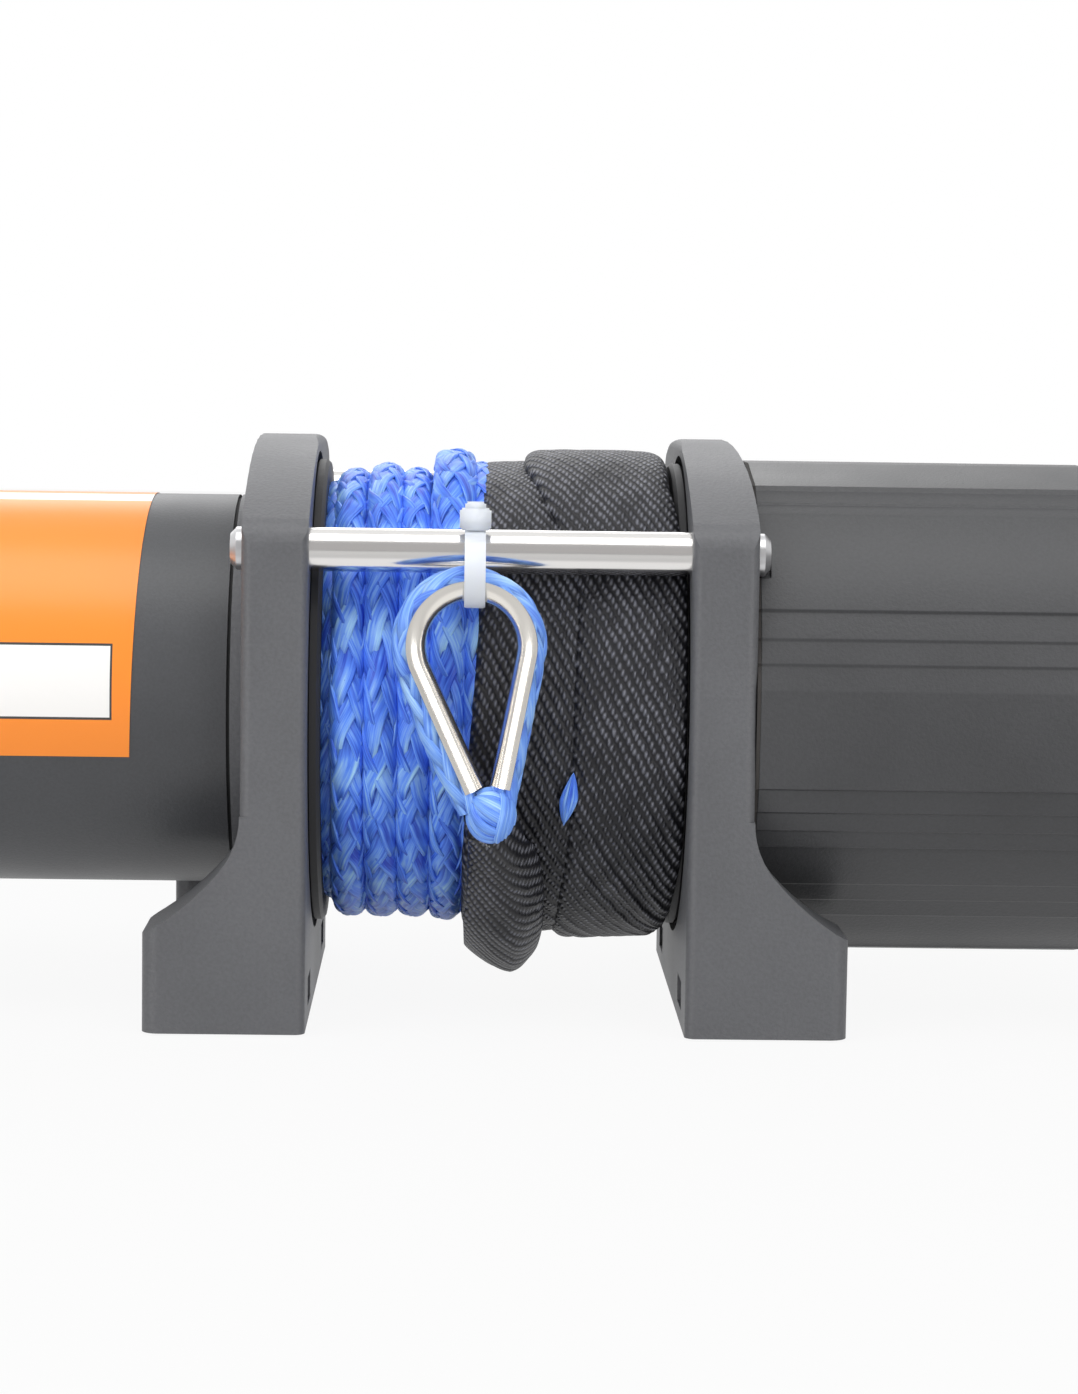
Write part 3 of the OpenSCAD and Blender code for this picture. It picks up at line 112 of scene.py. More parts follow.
bpy.context.scene.view_settings.view_transform = "Standard"
world = bpy.data.worlds.new("studio")
bpy.context.scene.world = world
world.use_nodes = True
sky = world.node_tree
sky.nodes.clear()
sky_out = add(sky, "OutputWorld")
sky_mix = add(sky, "MixShader")
sky_seen = add(sky, "Background", {"Color": (1, 1, 1, 1), "Strength": 1})
sky_fill = add(sky, "Background", {"Strength": 0.68})
sky_tone = colour_ramp(sky, (0.52, (0.36, 0.34, 0.34)), (0.66, (1, 1, 1)))
where = add(sky, "TexCoord")
split = add(sky, "SeparateXYZ")
wire(sky, (where, "Generated", split, 0))
height = calc(sky, "MULTIPLY_ADD", split.outputs["Y"], 0.9, split.outputs["Z"])
wire(sky, (calc(sky, "MULTIPLY_ADD", height, 0.5, 0.5), sky_tone, "Fac"),
     (sky_tone, "Color", sky_fill, "Color"), (white_share(sky, sky_tone.outputs["Color"]), sky_mix, "Fac"),
     (sky_fill, 0, sky_mix, 1), (sky_seen, 0, sky_mix, 2), (sky_mix, 0, sky_out, "Surface"))


def soft_lamp(name, place, size, power, towards=(0, 0, 0.07)):
    lamp = bpy.data.objects.new(name, bpy.data.lights.new(name, "AREA"))
    lamp.data.shape = "RECTANGLE"
    lamp.data.size, lamp.data.size_y = size
    lamp.data.energy = power
    lamp.location = place
    lamp.rotation_euler = (Vector(towards) - Vector(place)).to_track_quat("-Z", "Y").to_euler()
    bpy.context.scene.collection.objects.link(lamp)


soft_lamp("key", (-0.1, -0.45, 1.30), (1.6, 0.8), 9.5, towards=(0, -0.05, 0.07))
soft_lamp("left card", (-0.95, -1.0, 0.3), (0.8, 0.9), 9)
soft_lamp("right card", (0.95, -1.05, 0.3), (0.8, 0.9), 8)
soft_lamp("back", (-0.3, 1.2, 0.9), (1.2, 0.7), 5)


def surface(name, values):
    """A new material, its node tree, and its Principled shader with these values."""
    made = bpy.data.materials.new(name)
    made.use_nodes = True
    shader = made.node_tree.nodes["Principled BSDF"]
    for socket, value in values.items():
        shader.inputs[socket].default_value = value
    return made, made.node_tree, shader


reach, under = 3, -0.0005
floor = bpy.data.objects.new("floor", bpy.data.meshes.new("floor"))
floor.data.from_pydata([(-reach, -reach, under), (reach, -reach, under), (reach, reach, under),
                        (-reach, reach, under)], [], [(0, 1, 2, 3)])
bpy.context.scene.collection.objects.link(floor)
paper, tree, matt = surface("backdrop paper", {"Base Color": (0.5, 0.5, 0.5, 1), "Roughness": 0.9})
where = add(tree, "TexCoord")
pull = add(tree, "Mapping", {"Scale": (4.2, 4.2, 1)})
pool = add(tree, "TexGradient", gradient_type="SPHERICAL")
tone = colour_ramp(tree, (0.12, (0.1, 0.1, 0.1)), (0.34, (1, 1, 1)))
white = add(tree, "Emission", {"Strength": 1})
mix = add(tree, "MixShader")
share = calc(tree, "MULTIPLY", white_share(tree, tone.outputs["Color"]), 0.92)
wire(tree, (where, "Object", pull, "Vector"), (pull, 0, pool, "Vector"), (pool, "Fac", tone, "Fac"),
     (share, mix, "Fac"), (matt, 0, mix, 1), (white, 0, mix, 2),
     (mix, 0, tree.nodes["Material Output"], "Surface"))
floor.data.materials.append(paper)


# One group serves every painted casting: a fine pebble from the powder coat, and broad changes
# of tone and gloss where it lies thicker. The outputs vary over the surface only.
def rescale(tree, value, start, stop, low, high):
    """value stretched so that start to stop becomes low to high, and cut off there."""
    made = add(tree, "MapRange", {"From Min": start, "From Max": stop, "To Min": low, "To Max": high})
    tree.links.new(value, made.inputs["Value"])
    return made.outputs[0]


def coat_group():
    group = bpy.data.node_groups.new("powder coat", "ShaderNodeTree")
    for name, way, kind in (("Colour", "INPUT", "Color"), ("Grain", "INPUT", "Float"),
                            ("Roughness", "INPUT", "Float"), ("Depth", "INPUT", "Float"),
                            ("Colour", "OUTPUT", "Color"), ("Roughness", "OUTPUT", "Float"),
                            ("Height", "OUTPUT", "Float")):
        group.interface.new_socket(name=name, in_out=way, socket_type="NodeSocket" + kind)
    given, made = group.nodes.new("NodeGroupInput"), group.nodes.new("NodeGroupOutput")
    where = add(group, "TexCoord")
    pebble = add(group, "TexNoise", {"Detail": 3, "Roughness": 0.6})
    cloud = add(group, "TexNoise", {"Scale": 28, "Detail": 4})
    tint = add(group, "VectorMath", operation="SCALE")
    tone = rescale(group, cloud.outputs["Fac"], 0.3, 0.7, 0.9, 1.1)
    speck = rescale(group, pebble.outputs["Fac"], 0.35, 0.65, 0.93, 1.07)
    gloss = rescale(group, cloud.outputs["Fac"], 0.3, 0.7, -0.05, 0.05)
    wire(group, (where, "Object", pebble, "Vector"), (given, "Grain", pebble, "Scale"),
         (where, "Object", cloud, "Vector"), (given, "Colour", tint, 0),
         (calc(group, "MULTIPLY", tone, speck), tint, "Scale"), (tint, 0, made, "Colour"),
         (calc(group, "ADD", given.outputs["Roughness"], gloss), made, "Roughness"),
         (calc(group, "MULTIPLY", pebble.outputs["Fac"], given.outputs["Depth"]), made, "Height"))
    return group


powder_coat = coat_group()


def painted(name, colour, grain, roughness, depth):
    made, tree, shader = surface(name, {})
    coat = tree.nodes.new("ShaderNodeGroup")
    coat.node_tree = powder_coat
    for socket, value in (("Colour", (*colour, 1)), ("Grain", grain), ("Roughness", roughness),
                          ("Depth", depth)):
        coat.inputs[socket].default_value = value
    bump = add(tree, "Bump", {"Distance": 0.0002})
    wire(tree, (coat, "Colour", shader, "Base Color"), (coat, "Roughness", shader, "Roughness"),
         (coat, "Height", bump, "Height"), (bump, "Normal", shader, "Normal"))
    return made


def eased(node, name, width, material, segments=3, angle=25):
    """A copy of a CAD node's own mesh with its sharp edges rounded, as a casting's are."""
    made = bpy.data.objects.new(name, nodes[node].data.copy())
    bpy.context.scene.collection.objects.link(made)
    work = bmesh.new()
    work.from_mesh(made.data)
    bmesh.ops.remove_doubles(work, verts=work.verts, dist=2e-6)
    bmesh.ops.dissolve_limit(work, angle_limit=math.radians(0.6), verts=work.verts, edges=work.edges)
    for face in work.faces:
        face.smooth = True
    work.to_mesh(made.data)
    work.free()
    for key in ("custom_normal", "sharp_edge", "sharp_face"):
        if key in made.data.attributes:
            made.data.attributes.remove(made.data.attributes[key])
    made.data.materials.clear()
    made.data.materials.append(material)
    ease = made.modifiers.new("eased edges", "BEVEL")
    ease.width = width
    ease.segments = segments
    ease.limit_method = "ANGLE"
    ease.angle_limit = math.radians(angle)
    ease.use_clamp_overlap = True
    ease.harden_normals = False
    ease.miter_outer = "MITER_ARC"
    weigh = made.modifiers.new("even shading", "WEIGHTED_NORMAL")
    weigh.keep_sharp = True
    weigh.weight = 80
    return made


def coloured(node, material):
    """A CAD node whose shape is right keeps its mesh and takes this material."""
    nodes[node].data.materials.clear()
    nodes[node].data.materials.append(material)


# The two end supports are aluminium castings, sand-blasted and powder coated charcoal. Their
# edges are rounded in the mould, and the four feet stand on the mounting plate. Their crests keep
# nearly the full thickness of the plate, so the outer shoulder is fuller here than in the solid.
support_paint = painted("charcoal powder coat", (0.102, 0.104, 0.111), grain=1100, roughness=0.48, depth=0.8)
inner_x, outer_x, crest_x = 0.0453, 0.0584, 0.0509
shoulder_z, shoulder_h, crest_z = 0.112594, 0.022, 0.134595
for cast, round_w, round_h in (("motor_end_support", 0.0004, 0.006), ("gear_end_support", 0.0036, 0.017)):
    piece = eased(cast, cast.replace("_end_", "_") + "_casting", 0.0011, support_paint)
    for vert in piece.data.vertices:
        x, z = abs(vert.co.x), vert.co.z
        if z > shoulder_z and x > inner_x:
            arc = math.sqrt(max(0, 1 - ((z - shoulder_z) / shoulder_h) ** 2))
            was = crest_x + (outer_x - crest_x) * arc
            rounding = min(1, max(0, z - crest_z + round_h) / round_h)
            now = outer_x - round_w * (1 - math.sqrt(1 - rounding ** 2))
            if x < was + 0.0002:
                moved = inner_x + (x - inner_x) * (now - inner_x) / (was - inner_x)
                vert.co.x = math.copysign(moved, vert.co.x)
    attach(piece, "frame")
    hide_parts(cast)


# The motor can is a drawn steel tube and its end a cast cap, both painted a satin charcoal that
# is smoother than the castings. Two long bolts hold the cap, and two studs take the leads.
motor_paint = painted("satin charcoal paint", (0.056, 0.058, 0.063), grain=1500, roughness=0.42, depth=0.35)
coloured("motor_can", motor_paint)
cap = eased("motor_end_cap", "motor_cap", 0.0008, motor_paint, angle=40)
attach(cap, "frame")
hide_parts("motor_end_cap")


# The gear case is cast aluminium with ribs and ledges along it, powder coated a touch darker
# than the supports. Its cover closes the end, with a round boss for the clutch knob.
case_paint = painted("dark powder coat", (0.046, 0.047, 0.050), grain=1300, roughness=0.45, depth=0.5)
for cast, width in (("gear_case", 0.00045), ("gear_end_cover", 0.0008)):
    piece = eased(cast, cast + "_casting", width, case_paint, segments=2, angle=20)
    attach(piece, "frame")
    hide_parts(cast)


# The gasket, the motor's seal and the drum's bushes show only as thin lines between castings.
def plain(name, colour, roughness, metallic=0.0, grain=600, share=0.12, depth=0.0):
    """A material with a fine, even change of tone, for small and inner pieces."""
    made, tree, shader = surface(name, {"Metallic": metallic})
    where = add(tree, "TexCoord")
    grains = add(tree, "TexNoise", {"Scale": grain, "Detail": 3})
    dark = (*[c * (1 - share) for c in colour], 1)
    light = (*[min(1, c * (1 + share)) for c in colour], 1)
    tone = add(tree, "Mix", {"A": dark, "B": light}, data_type="RGBA")
    gloss = rescale(tree, grains.outputs["Fac"], 0, 1, max(0.02, roughness - 0.06), roughness + 0.06)
    wire(tree, (where, "Object", grains, "Vector"), (grains, "Fac", tone, "Factor"),
         (tone, "Result", shader, "Base Color"), (gloss, shader, "Roughness"))
    if depth:
        bump = add(tree, "Bump", {"Distance": depth})
        wire(tree, (grains, "Fac", bump, "Height"), (bump, "Normal", shader, "Normal"))
    return made


coloured("motor_seal", plain("seal rubber", (0.012, 0.012, 0.013), 0.7, depth=0.0001))
coloured("case_gasket", plain("gasket paper", (0.035, 0.032, 0.03), 0.85))
bush_nylon = plain("bush nylon", (0.78, 0.77, 0.72), 0.5)
coloured("motor_side_bush", bush_nylon)
coloured("gear_side_bush", bush_nylon)


# The winch rope is a 12-strand braid of blue polyethylene fibre. Six strands wind each way and
# pass over two and under two, so its face shows chains of long Vs. Each strand is a real tube.
def fibre(name, dark, middle, light, sheen):
    """Filament yarn: fine streaks along each strand, from the UV map that the strands carry, and painted
    shade where a strand lies low under its neighbours.
    """
    made, tree, shader = surface(name, {
        "Roughness": 0.42, "Specular IOR Level": 0.35, "Sheen Weight": sheen, "Sheen Roughness": 0.4,
        "Sheen Tint": (*light, 1)})
    lie = add(tree, "UVMap", uv_map="strands")
    stretch = add(tree, "Mapping", {"Scale": (70, 15, 1)})
    streaks = add(tree, "TexNoise", {"Scale": 1, "Detail": 3, "Roughness": 0.65})
    broad = add(tree, "Mapping", {"Scale": (75, 1.6, 1)})
    tufts = add(tree, "TexNoise", {"Scale": 1, "Detail": 2})
    shade_height = add(tree, "Attribute", attribute_name="shade_height")
    tone = colour_ramp(tree, (0.38, dark), (0.52, middle), (0.68, light))
    deep = add(tree, "VectorMath", operation="SCALE")
    bump = add(tree, "Bump", {"Distance": 0.00012, "Strength": 0.8})
    wire(tree, (lie, 0, stretch, "Vector"), (lie, 0, broad, "Vector"), (stretch, 0, streaks, "Vector"),
         (broad, 0, tufts, "Vector"))
    tuft = calc(tree, "MULTIPLY", tufts.outputs["Fac"], 0.52)
    # The colour is scaled down to 0.6 where a strand lies low: painted shade on the strands that pass under.
    wire(tree, (calc(tree, "MULTIPLY_ADD", streaks.outputs["Fac"], 0.52, tuft), tone, "Fac"),
         (tone, "Color", deep, 0), (rescale(tree, shade_height.outputs["Fac"], 0, 1, 0.6, 1), deep, "Scale"),
         (deep, 0, shader, "Base Color"), (streaks, "Fac", bump, "Height"),
         (bump, "Normal", shader, "Normal"))
    return made


blue_fibre = fibre("blue rope fibre", (0.017, 0.062, 0.58), (0.095, 0.26, 0.95), (0.40, 0.70, 1.0), 0.12)
pale_fibre = fibre("blue splice fibre", (0.04, 0.11, 0.65), (0.17, 0.37, 0.94), (0.46, 0.72, 1.0), 0.15)


def mesh_from(name, points, faces, material, uvs=None, shade_height=None):
    """A smooth mesh of quads, with a UV map by corner and, by point, the strands' height that sets their
    painted shade.
    """
    data = bpy.data.meshes.new(name)
    data.vertices.add(len(points))
    data.vertices.foreach_set("co", np.asarray(points, float).reshape(-1))
    faces = np.asarray(faces, int)
    data.loops.add(faces.size)
    data.loops.foreach_set("vertex_index", faces.reshape(-1))
    data.polygons.add(len(faces))
    data.polygons.foreach_set("loop_start", np.arange(len(faces)) * faces.shape[1])
    if uvs is not None:
        layer = data.uv_layers.new(name="strands")
        layer.data.foreach_set("uv", np.asarray(uvs, float).reshape(-1))
    if shade_height is not None:
        heights = data.attributes.new("shade_height", "FLOAT", "POINT")
        heights.data.foreach_set("value", np.asarray(shade_height, float).reshape(-1))
    data.update(calc_edges=True)
    data.validate()
    data.polygons.foreach_set("use_smooth", np.full(len(data.polygons), True))
    data.materials.append(material)
    made = bpy.data.objects.new(name, data)
    bpy.context.scene.collection.objects.link(made)
    return made


def skin_grid(rows, sides, closed):
    """Quads of a tube of rings, and the row and side of each quad's corners."""
    last = rows if closed else rows - 1
    i, k = np.meshgrid(np.arange(last), np.arange(sides), indexing="ij")
    i, k = i.reshape(-1), k.reshape(-1)
    i2, k2 = (i + 1) % rows, (k + 1) % sides
    quads = np.stack([i * sides + k, i * sides + k2, i2 * sides + k2, i2 * sides + k], 1)
    corners = np.stack([np.stack([i, k], 1), np.stack([i, k + 1], 1), np.stack([i + 1, k + 1], 1),
                        np.stack([i + 1, k], 1)], 1)
    return quads, corners


def braid(name, spine, side, out, half_w, half_h, pitches, closed, material, seed,
          yarn_w=0.0021, yarn_h=0.00066):
    """A 12-strand rope along spine. side and out point across it, half_w and half_h are its half
    width and height at each point, and pitches is how often a strand goes round on the way.
    yarn_w and yarn_h are a strand's half width and height in a rope of 3.8 mm radius."""
    rows, strands, sides = len(spine), 12, 12
    span = rows if closed else rows - 1
    turn = 2 * np.pi * pitches * np.arange(rows) / span
    length = np.linalg.norm(np.diff(spine, axis=0), axis=1).mean()
    loose = np.random.default_rng(seed)
    points, quads, uvs, shade_height = [], [], [], []
    grid, corners = skin_grid(rows, sides, closed)
    around = 2 * np.pi * np.arange(sides) / sides
    half_w, half_h = np.broadcast_to(half_w, rows), np.broadcast_to(half_h, rows)
    scale = (half_w + half_h) / 2 / 0.0038
    for strand in range(strands):
        way = 1 if strand < strands / 2 else -1
        lane = strand % 6
        crossing = turn * 6 / np.pi
        beat = crossing + 2 * lane - 0.5 if way > 0 else 2 * lane - crossing - 2.5
        wave = np.cos(np.pi / 2 * beat)
        wave = wave / np.sqrt(wave ** 2 + 0.25) * 1.1
        theta = np.pi / 3 * lane + np.pi / 6 + way * turn
        if closed:
            theta = (theta + 0.09 * np.sin(turn * 2 + loose.uniform(0, 6.28))
                     + 0.07 * np.sin(turn * 5 + loose.uniform(0, 6.28)))
        ring = 0.76 + 0.068 * wave
        plump = 1 + 0.2 * loose.uniform(-1, 1)
        centre = (spine + side * (ring * np.cos(theta) * half_w)[:, None]
                  + out * (ring * np.sin(theta) * half_h)[:, None])
        radial = side * np.cos(theta)[:, None] + out * np.sin(theta)[:, None]
        tangent = -side * np.sin(theta)[:, None] + out * np.cos(theta)[:, None]
        thick = yarn_h * scale * (1 + 0.12 * wave)
        wide = yarn_w * scale * plump * (1 + 0.06 * wave)
        loop = (centre[:, None, :] + radial[:, None, :] * (thick[:, None] * np.sin(around))[:, :, None]
                + tangent[:, None, :] * (wide[:, None] * np.cos(around))[:, :, None])
        quads.append(grid + len(points) * rows * sides)
        points.append(loop.reshape(-1, 3))
        uvs.append(np.stack([corners[..., 0] * length + strand * 0.7,
                             corners[..., 1] / sides + strand * 3.1], -1))
        # The strand's height over or under its neighbours, kept for the painted shade of the fibre.
        shade_height.append(np.repeat(np.clip(0.5 + 0.5 * wave, 0, 1), sides))
    return mesh_from(name, np.concatenate(points), np.concatenate(quads), material,
                     np.concatenate(uvs), np.concatenate(shade_height))


# The bare wraps on the drum: a narrow one sunk beside the flange and five more side by side,
# each flattened a little by the pull of its neighbours. Over the top one rises and crosses.
# Each row gives the place along the drum, outer radius, sink and rise at the top, and half width.
axle = 0.0733
rope_r = 0.0035
rows = 220
turns = 2 * np.pi * np.arange(rows) / rows - np.pi
wraps = []
for number, (place, over_r, sink, rise, half_w) in enumerate((
        (-0.0388, 0.0505, 0.0000, 0.0000, 0.0030), (-0.0346, 0.0545, 0.0016, 0.0000, 0.0041),
        (-0.0270, 0.0549, 0.0000, 0.0002, 0.0041), (-0.0195, 0.0547, 0.0008, 0.0000, 0.0041),
        (-0.0118, 0.0549, 0.0000, 0.0037, 0.0042), (-0.0044, 0.0552, 0.0000, 0.0000, 0.0042))):
    top = np.exp(-((turns - 1.25) / 0.75) ** 2)
    crosses = top if rise > 0.001 else 0 * top
    waver = np.sin(turns * 3 + number * 2.1) * 0.35 + np.sin(turns * 7 + number * 4.3) * 0.2
    shape_w = half_w * (1 + 0.03 * np.sin(turns * 5 + number)) + 0.0011 * crosses
    ring = over_r - rope_r + rise * top - sink * top + 0.00025 * np.sin(turns * 4 + number * 1.7)
    across_x = place + 0.0004 * waver + 0.0012 * crosses
    spine = np.stack([across_x, -ring * np.cos(turns), axle + ring * np.sin(turns)], 1)
    out = np.stack([0 * turns, -np.cos(turns), np.sin(turns)], 1)
    side = np.tile([1.0, 0.0, 0.0], (rows, 1))
    wraps.append(braid("rope_wrap_%d" % number, spine, side, out, shape_w, np.full(rows, rope_r), 5, True,
                       blue_fibre, number))
    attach(wraps[-1], "drum_body")
steps, left_x, right_x, barrel_r, below_r = 96, -0.0400, 0.0003, 0.0262, 0.0480
points = [(x, -r * math.cos(2 * math.pi * i / steps), axle + r * math.sin(2 * math.pi * i / steps))
          for i in range(steps)
          for x, r in ((left_x, barrel_r), (left_x, below_r), (right_x, below_r), (right_x, barrel_r))]
grid, corners = skin_grid(steps, 4, True)
# The layers below get strand height 0 everywhere, the braid's deepest painted shade.
under = mesh_from("rope_layers_below", points, grid, blue_fibre, corners * 0.001, np.zeros(len(points)))
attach(under, "drum_body")
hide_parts("blue_rope_wraps")


# A tube of black polyester twill protects the outer end of the rope. It is woven in steep ribs
# of short floats, which catch the light as rows of dashes. These are painted highlights in its
# colour, with painted shade in the valleys between the ribs.
def twill(name, dark, light):
    """Twill seen by its UV map: u counts the ribs, and v counts the warp floats that cross them."""
    made, tree, shader = surface(name, {"Roughness": 0.48, "Specular IOR Level": 0.35})
    lie = add(tree, "UVMap", uv_map="strands")
    stray = add(tree, "TexNoise", {"Scale": 0.45, "Detail": 2})
    shift = add(tree, "VectorMath", {1: (0.5, 0.9, 0)}, operation="MULTIPLY_ADD")
    parts = add(tree, "SeparateXYZ")
    wire(tree, (lie, 0, stray, "Vector"), (stray, "Color", shift, 0), (lie, 0, shift, 2),
         (shift, 0, parts, 0))
    across, along = [
        calc(tree, "MULTIPLY_ADD", calc(tree, "COSINE", calc(tree, "MULTIPLY", part, 2 * math.pi)), 0.5, 0.5)
        for part in (parts.outputs["X"], parts.outputs["Y"])]
    floats = calc(tree, "MULTIPLY", across, calc(tree, "MULTIPLY_ADD", along, 0.72, 0.28))
    cell = add(tree, "VectorMath", operation="FLOOR")
    chance = add(tree, "TexWhiteNoise", noise_dimensions="2D")
    cloud = add(tree, "TexNoise", {"Scale": 0.13, "Detail": 3})
    wire(tree, (shift, 0, cell, 0), (cell, 0, chance, "Vector"), (lie, 0, cloud, "Vector"))
    own = rescale(tree, chance.outputs["Value"], 0, 1, 0.62, 1.15)
    patches = rescale(tree, cloud.outputs["Fac"], 0.35, 0.65, 0.6, 1.2)
    # The floats set the colour, varied at random cell by cell and in broad patches: painted highlights on the
    # floats and painted shade between the ribs.
    lit = calc(tree, "MULTIPLY", floats, calc(tree, "MULTIPLY", own, patches))
    tone = colour_ramp(tree, (0.18, dark), (0.85, light))
    bump = add(tree, "Bump", {"Distance": 0.0005})
    wire(tree, (lit, tone, "Fac"), (tone, "Color", shader, "Base Color"), (floats, bump, "Height"),
         (bump, "Normal", shader, "Normal"))
    return made


# Near black for the painted shade between the ribs, grey for the painted highlights on the floats.
sleeve_cloth = twill("sleeve twill", (0.005, 0.005, 0.0075), (0.17, 0.175, 0.205))


# Two wide turns of the sleeved rope fill the gear side of the drum. The tube lies flat over the
# rope, each turn's edge tucks down, and the right turn laps over the left one at a wandering seam.
# In front the right turn bulges over the rim of the drum's flange.
rows = 1120
turns = 2 * np.pi * np.arange(rows + 1) / rows - np.pi


def round_drum(angles, millimetres):
    """Millimetres at these angles in degrees, evened out round the drum and given in metres."""
    return np.interp(np.degrees(turns), angles, millimetres, period=360) / 1000


soften = np.hanning(41) / np.hanning(41).sum()
seam = round_drum([-85, -51, -33, -12, 4, 26, 37, 55, 77, 120, 180],
                  [13.4, 14.2, 15.8, 16.3, 16.5, 17.6, 16.8, 10.6, 5.7, 6.5, 12])
seam = np.convolve(np.concatenate([seam[-31:-1], seam, seam[1:31]]), soften, "same")[30:-30]
left_edge = round_drum([-90, -40, -10, 20, 60, 100, 180], [-8, -8, -7, -5.2, -4.4, -3.9, -5])
right_edge = round_drum([-75, -55, -35, 30, 48, 62], [39.9, 41.5, 42.9, 42.9, 41.5, 39.9])
heights_at = [-85, -40, 0, 40, 77, 110, 180]
height_left = round_drum(heights_at, [57.9, 57.6, 57.4, 57.2, 55.6, 55.8, 56.8])
height_right = round_drum(heights_at, [59.1, 58.4, 58.2, 58.4, 58.8, 58.4, 58.2])


def sleeve_turn(name, from_x, to_x, crest, start_r, end_r, hem_x, hem_r, columns):
    """A flat woven tube round the drum: its outer face in columns, and three more points inside.
    The face runs from from_x and start_r over the crest to to_x and end_r."""
    share = np.linspace(0, 1, columns)[None, :]
    x = from_x[:, None] + (to_x - from_x)[:, None] * (share - np.sin(2 * np.pi * share) * 0.06)
    arch = (1 - np.abs(2 * share - 1) ** 5) ** 0.5
    foot = start_r + (end_r[:, None] - start_r) * np.clip(share * 2 - 0.8, 0, 1)
    radius = foot + (crest[:, None] - foot) * arch
    a = turns[:, None]
    below = np.clip(-np.sin(a) * 1.6 + 0.1, 0, 1) * np.clip(np.cos(a) + 0.7, 0, 1)
    ribs = 425.5 * x + 94 * a / (2 * np.pi) - 2.2 * np.sin(a + math.pi / 4)
    floats = 693 * x - 138 * a / (2 * np.pi)
    relief = np.abs(np.cos(np.pi * ribs)) - 0.6
    folds = (np.sin(ribs * 2.2 + 1.4 * np.sin(a * 5) + 0.9 * np.sin(x * 330))
             * (0.55 + 0.45 * np.sin(a * 7 + x * 250)))
    lumps = (np.sin(a * 4 + x * 120) * 0.5 + np.sin(a * 9 - x * 260 + 1) * 0.3
             + np.sin(a * 2 + x * 90 + 2) * 0.4)
    radius = radius + arch * (relief * (0.00010 + 0.00020 * below) + folds * (0.00008 + 0.00030 * below)
                              + lumps * 0.00026)
    outer = np.stack([x, -radius * np.cos(a), axle + radius * np.sin(a)], 2)
    inside_r = 0.0495
    inner = [np.stack([edge_x, -r * np.cos(turns), axle + r * np.sin(turns)], 1)[:, None, :]
             for edge_x, r in ((hem_x, hem_r), (hem_x, inside_r), (from_x + 0.0012, inside_r))]
    points = np.concatenate([outer] + inner, 1)[:rows]
    uv = np.stack([ribs, floats], 2)
    uv = np.concatenate([uv, uv[:, -1:], uv[:, -1:], uv[:, :1], uv[:, :1]], 1)
    quads, corners = skin_grid(rows, columns + 3, True)
    made = mesh_from(name, points.reshape(-1, 3), quads, sleeve_cloth, uv[corners[..., 0], corners[..., 1]])
    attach(made, "drum_body")
    return made


still = np.full(rows + 1, 1.0)
flange_x = 0.0401
right_foot = np.where(right_edge > flange_x, 0.0563, 0.0545)
sleeve_turn("sleeve_turn_left", left_edge, seam + 0.0022, height_left, 0.0535, still * 0.0550,
            seam + 0.0016, 0.0530, 66)
turn_right = sleeve_turn("sleeve_turn_right", seam, right_edge, height_right, 0.0555, right_foot,
                         still * 0.0399, 0.0545, 80)
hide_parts("sleeved_wraps")


# Between the two turns the blue rope peeps out where the lap opens, as a leaf of five yarns.
def loop_of(spine, sides, width, one, two):
    """Rings of points round spine, width away from it, in the directions one and two."""
    around = 2 * np.pi * np.arange(sides) / sides
    return spine[:, None, :] + width * (np.cos(around)[None, :, None] * np.array(one)
                                        + np.sin(around)[None, :, None] * np.array(two))


def joined(parts, name, material, shade_height=None):
    """One mesh from parts of points and quads, and of strand coordinates where they have them."""
    uvs = np.concatenate([part[2] for part in parts]) if len(parts[0]) > 2 else None
    points = np.concatenate([part[0].reshape(-1, 3) for part in parts])
    # One strand height for every point, which sets how much painted shade they get.
    shade_height = None if shade_height is None else np.full(len(points), shade_height)
    return mesh_from(name, points, np.concatenate([part[1] for part in parts]), material, uvs, shade_height)


leaf, steps, sides = [], 24, 10
spread = np.linspace(-1, 1, steps)
angle = np.radians(-19.5 + 6.6 * spread)
width = 0.00062 * (1 - spread ** 2) ** 0.7 + 0.00003
quads, corners = skin_grid(steps, sides, False)
for yarn in range(5):
    reach = 0.0585 + 0.0005 * (1 - spread ** 2) - 0.00025 * abs(yarn - 2)
    x = 0.0162 + (yarn - 2) * 0.00072 * (1 - np.abs(spread) ** 1.3) + 0.0010 * spread
    spine = np.stack([x, -reach * np.cos(angle), axle + reach * np.sin(angle)], 1)
    leaf.append((loop_of(spine, sides, width[:, None, None], (1.0, 0, 0), (0, -0.7, -0.25)),
                 quads + yarn * steps * sides,
                 np.stack([corners[..., 0] * 0.0006 + yarn, corners[..., 1] / sides], -1)))
# Strand height 0.9 gives the leaf a little painted shade.
peep = joined(leaf, "rope_in_the_lap", blue_fibre, 0.9)
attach(peep, "drum_body")


# The free end of the sleeve hangs down in front, turns under the drum and lies flat. It is a wide
# tube pressed to thin edges, deepest right of its middle, so its low bend comes to a blunt point.
# Its mouth is open round the splice and dips in front, with grey stitches along its left rim.
bend, straight, bend_r, bend_z = math.radians(46), 0.0275, 0.0632, 0.0720
rearward, downward = 0.719, 0.695
mouth_y, mouth_z = -0.0439 - rearward * straight, 0.0265 + downward * straight


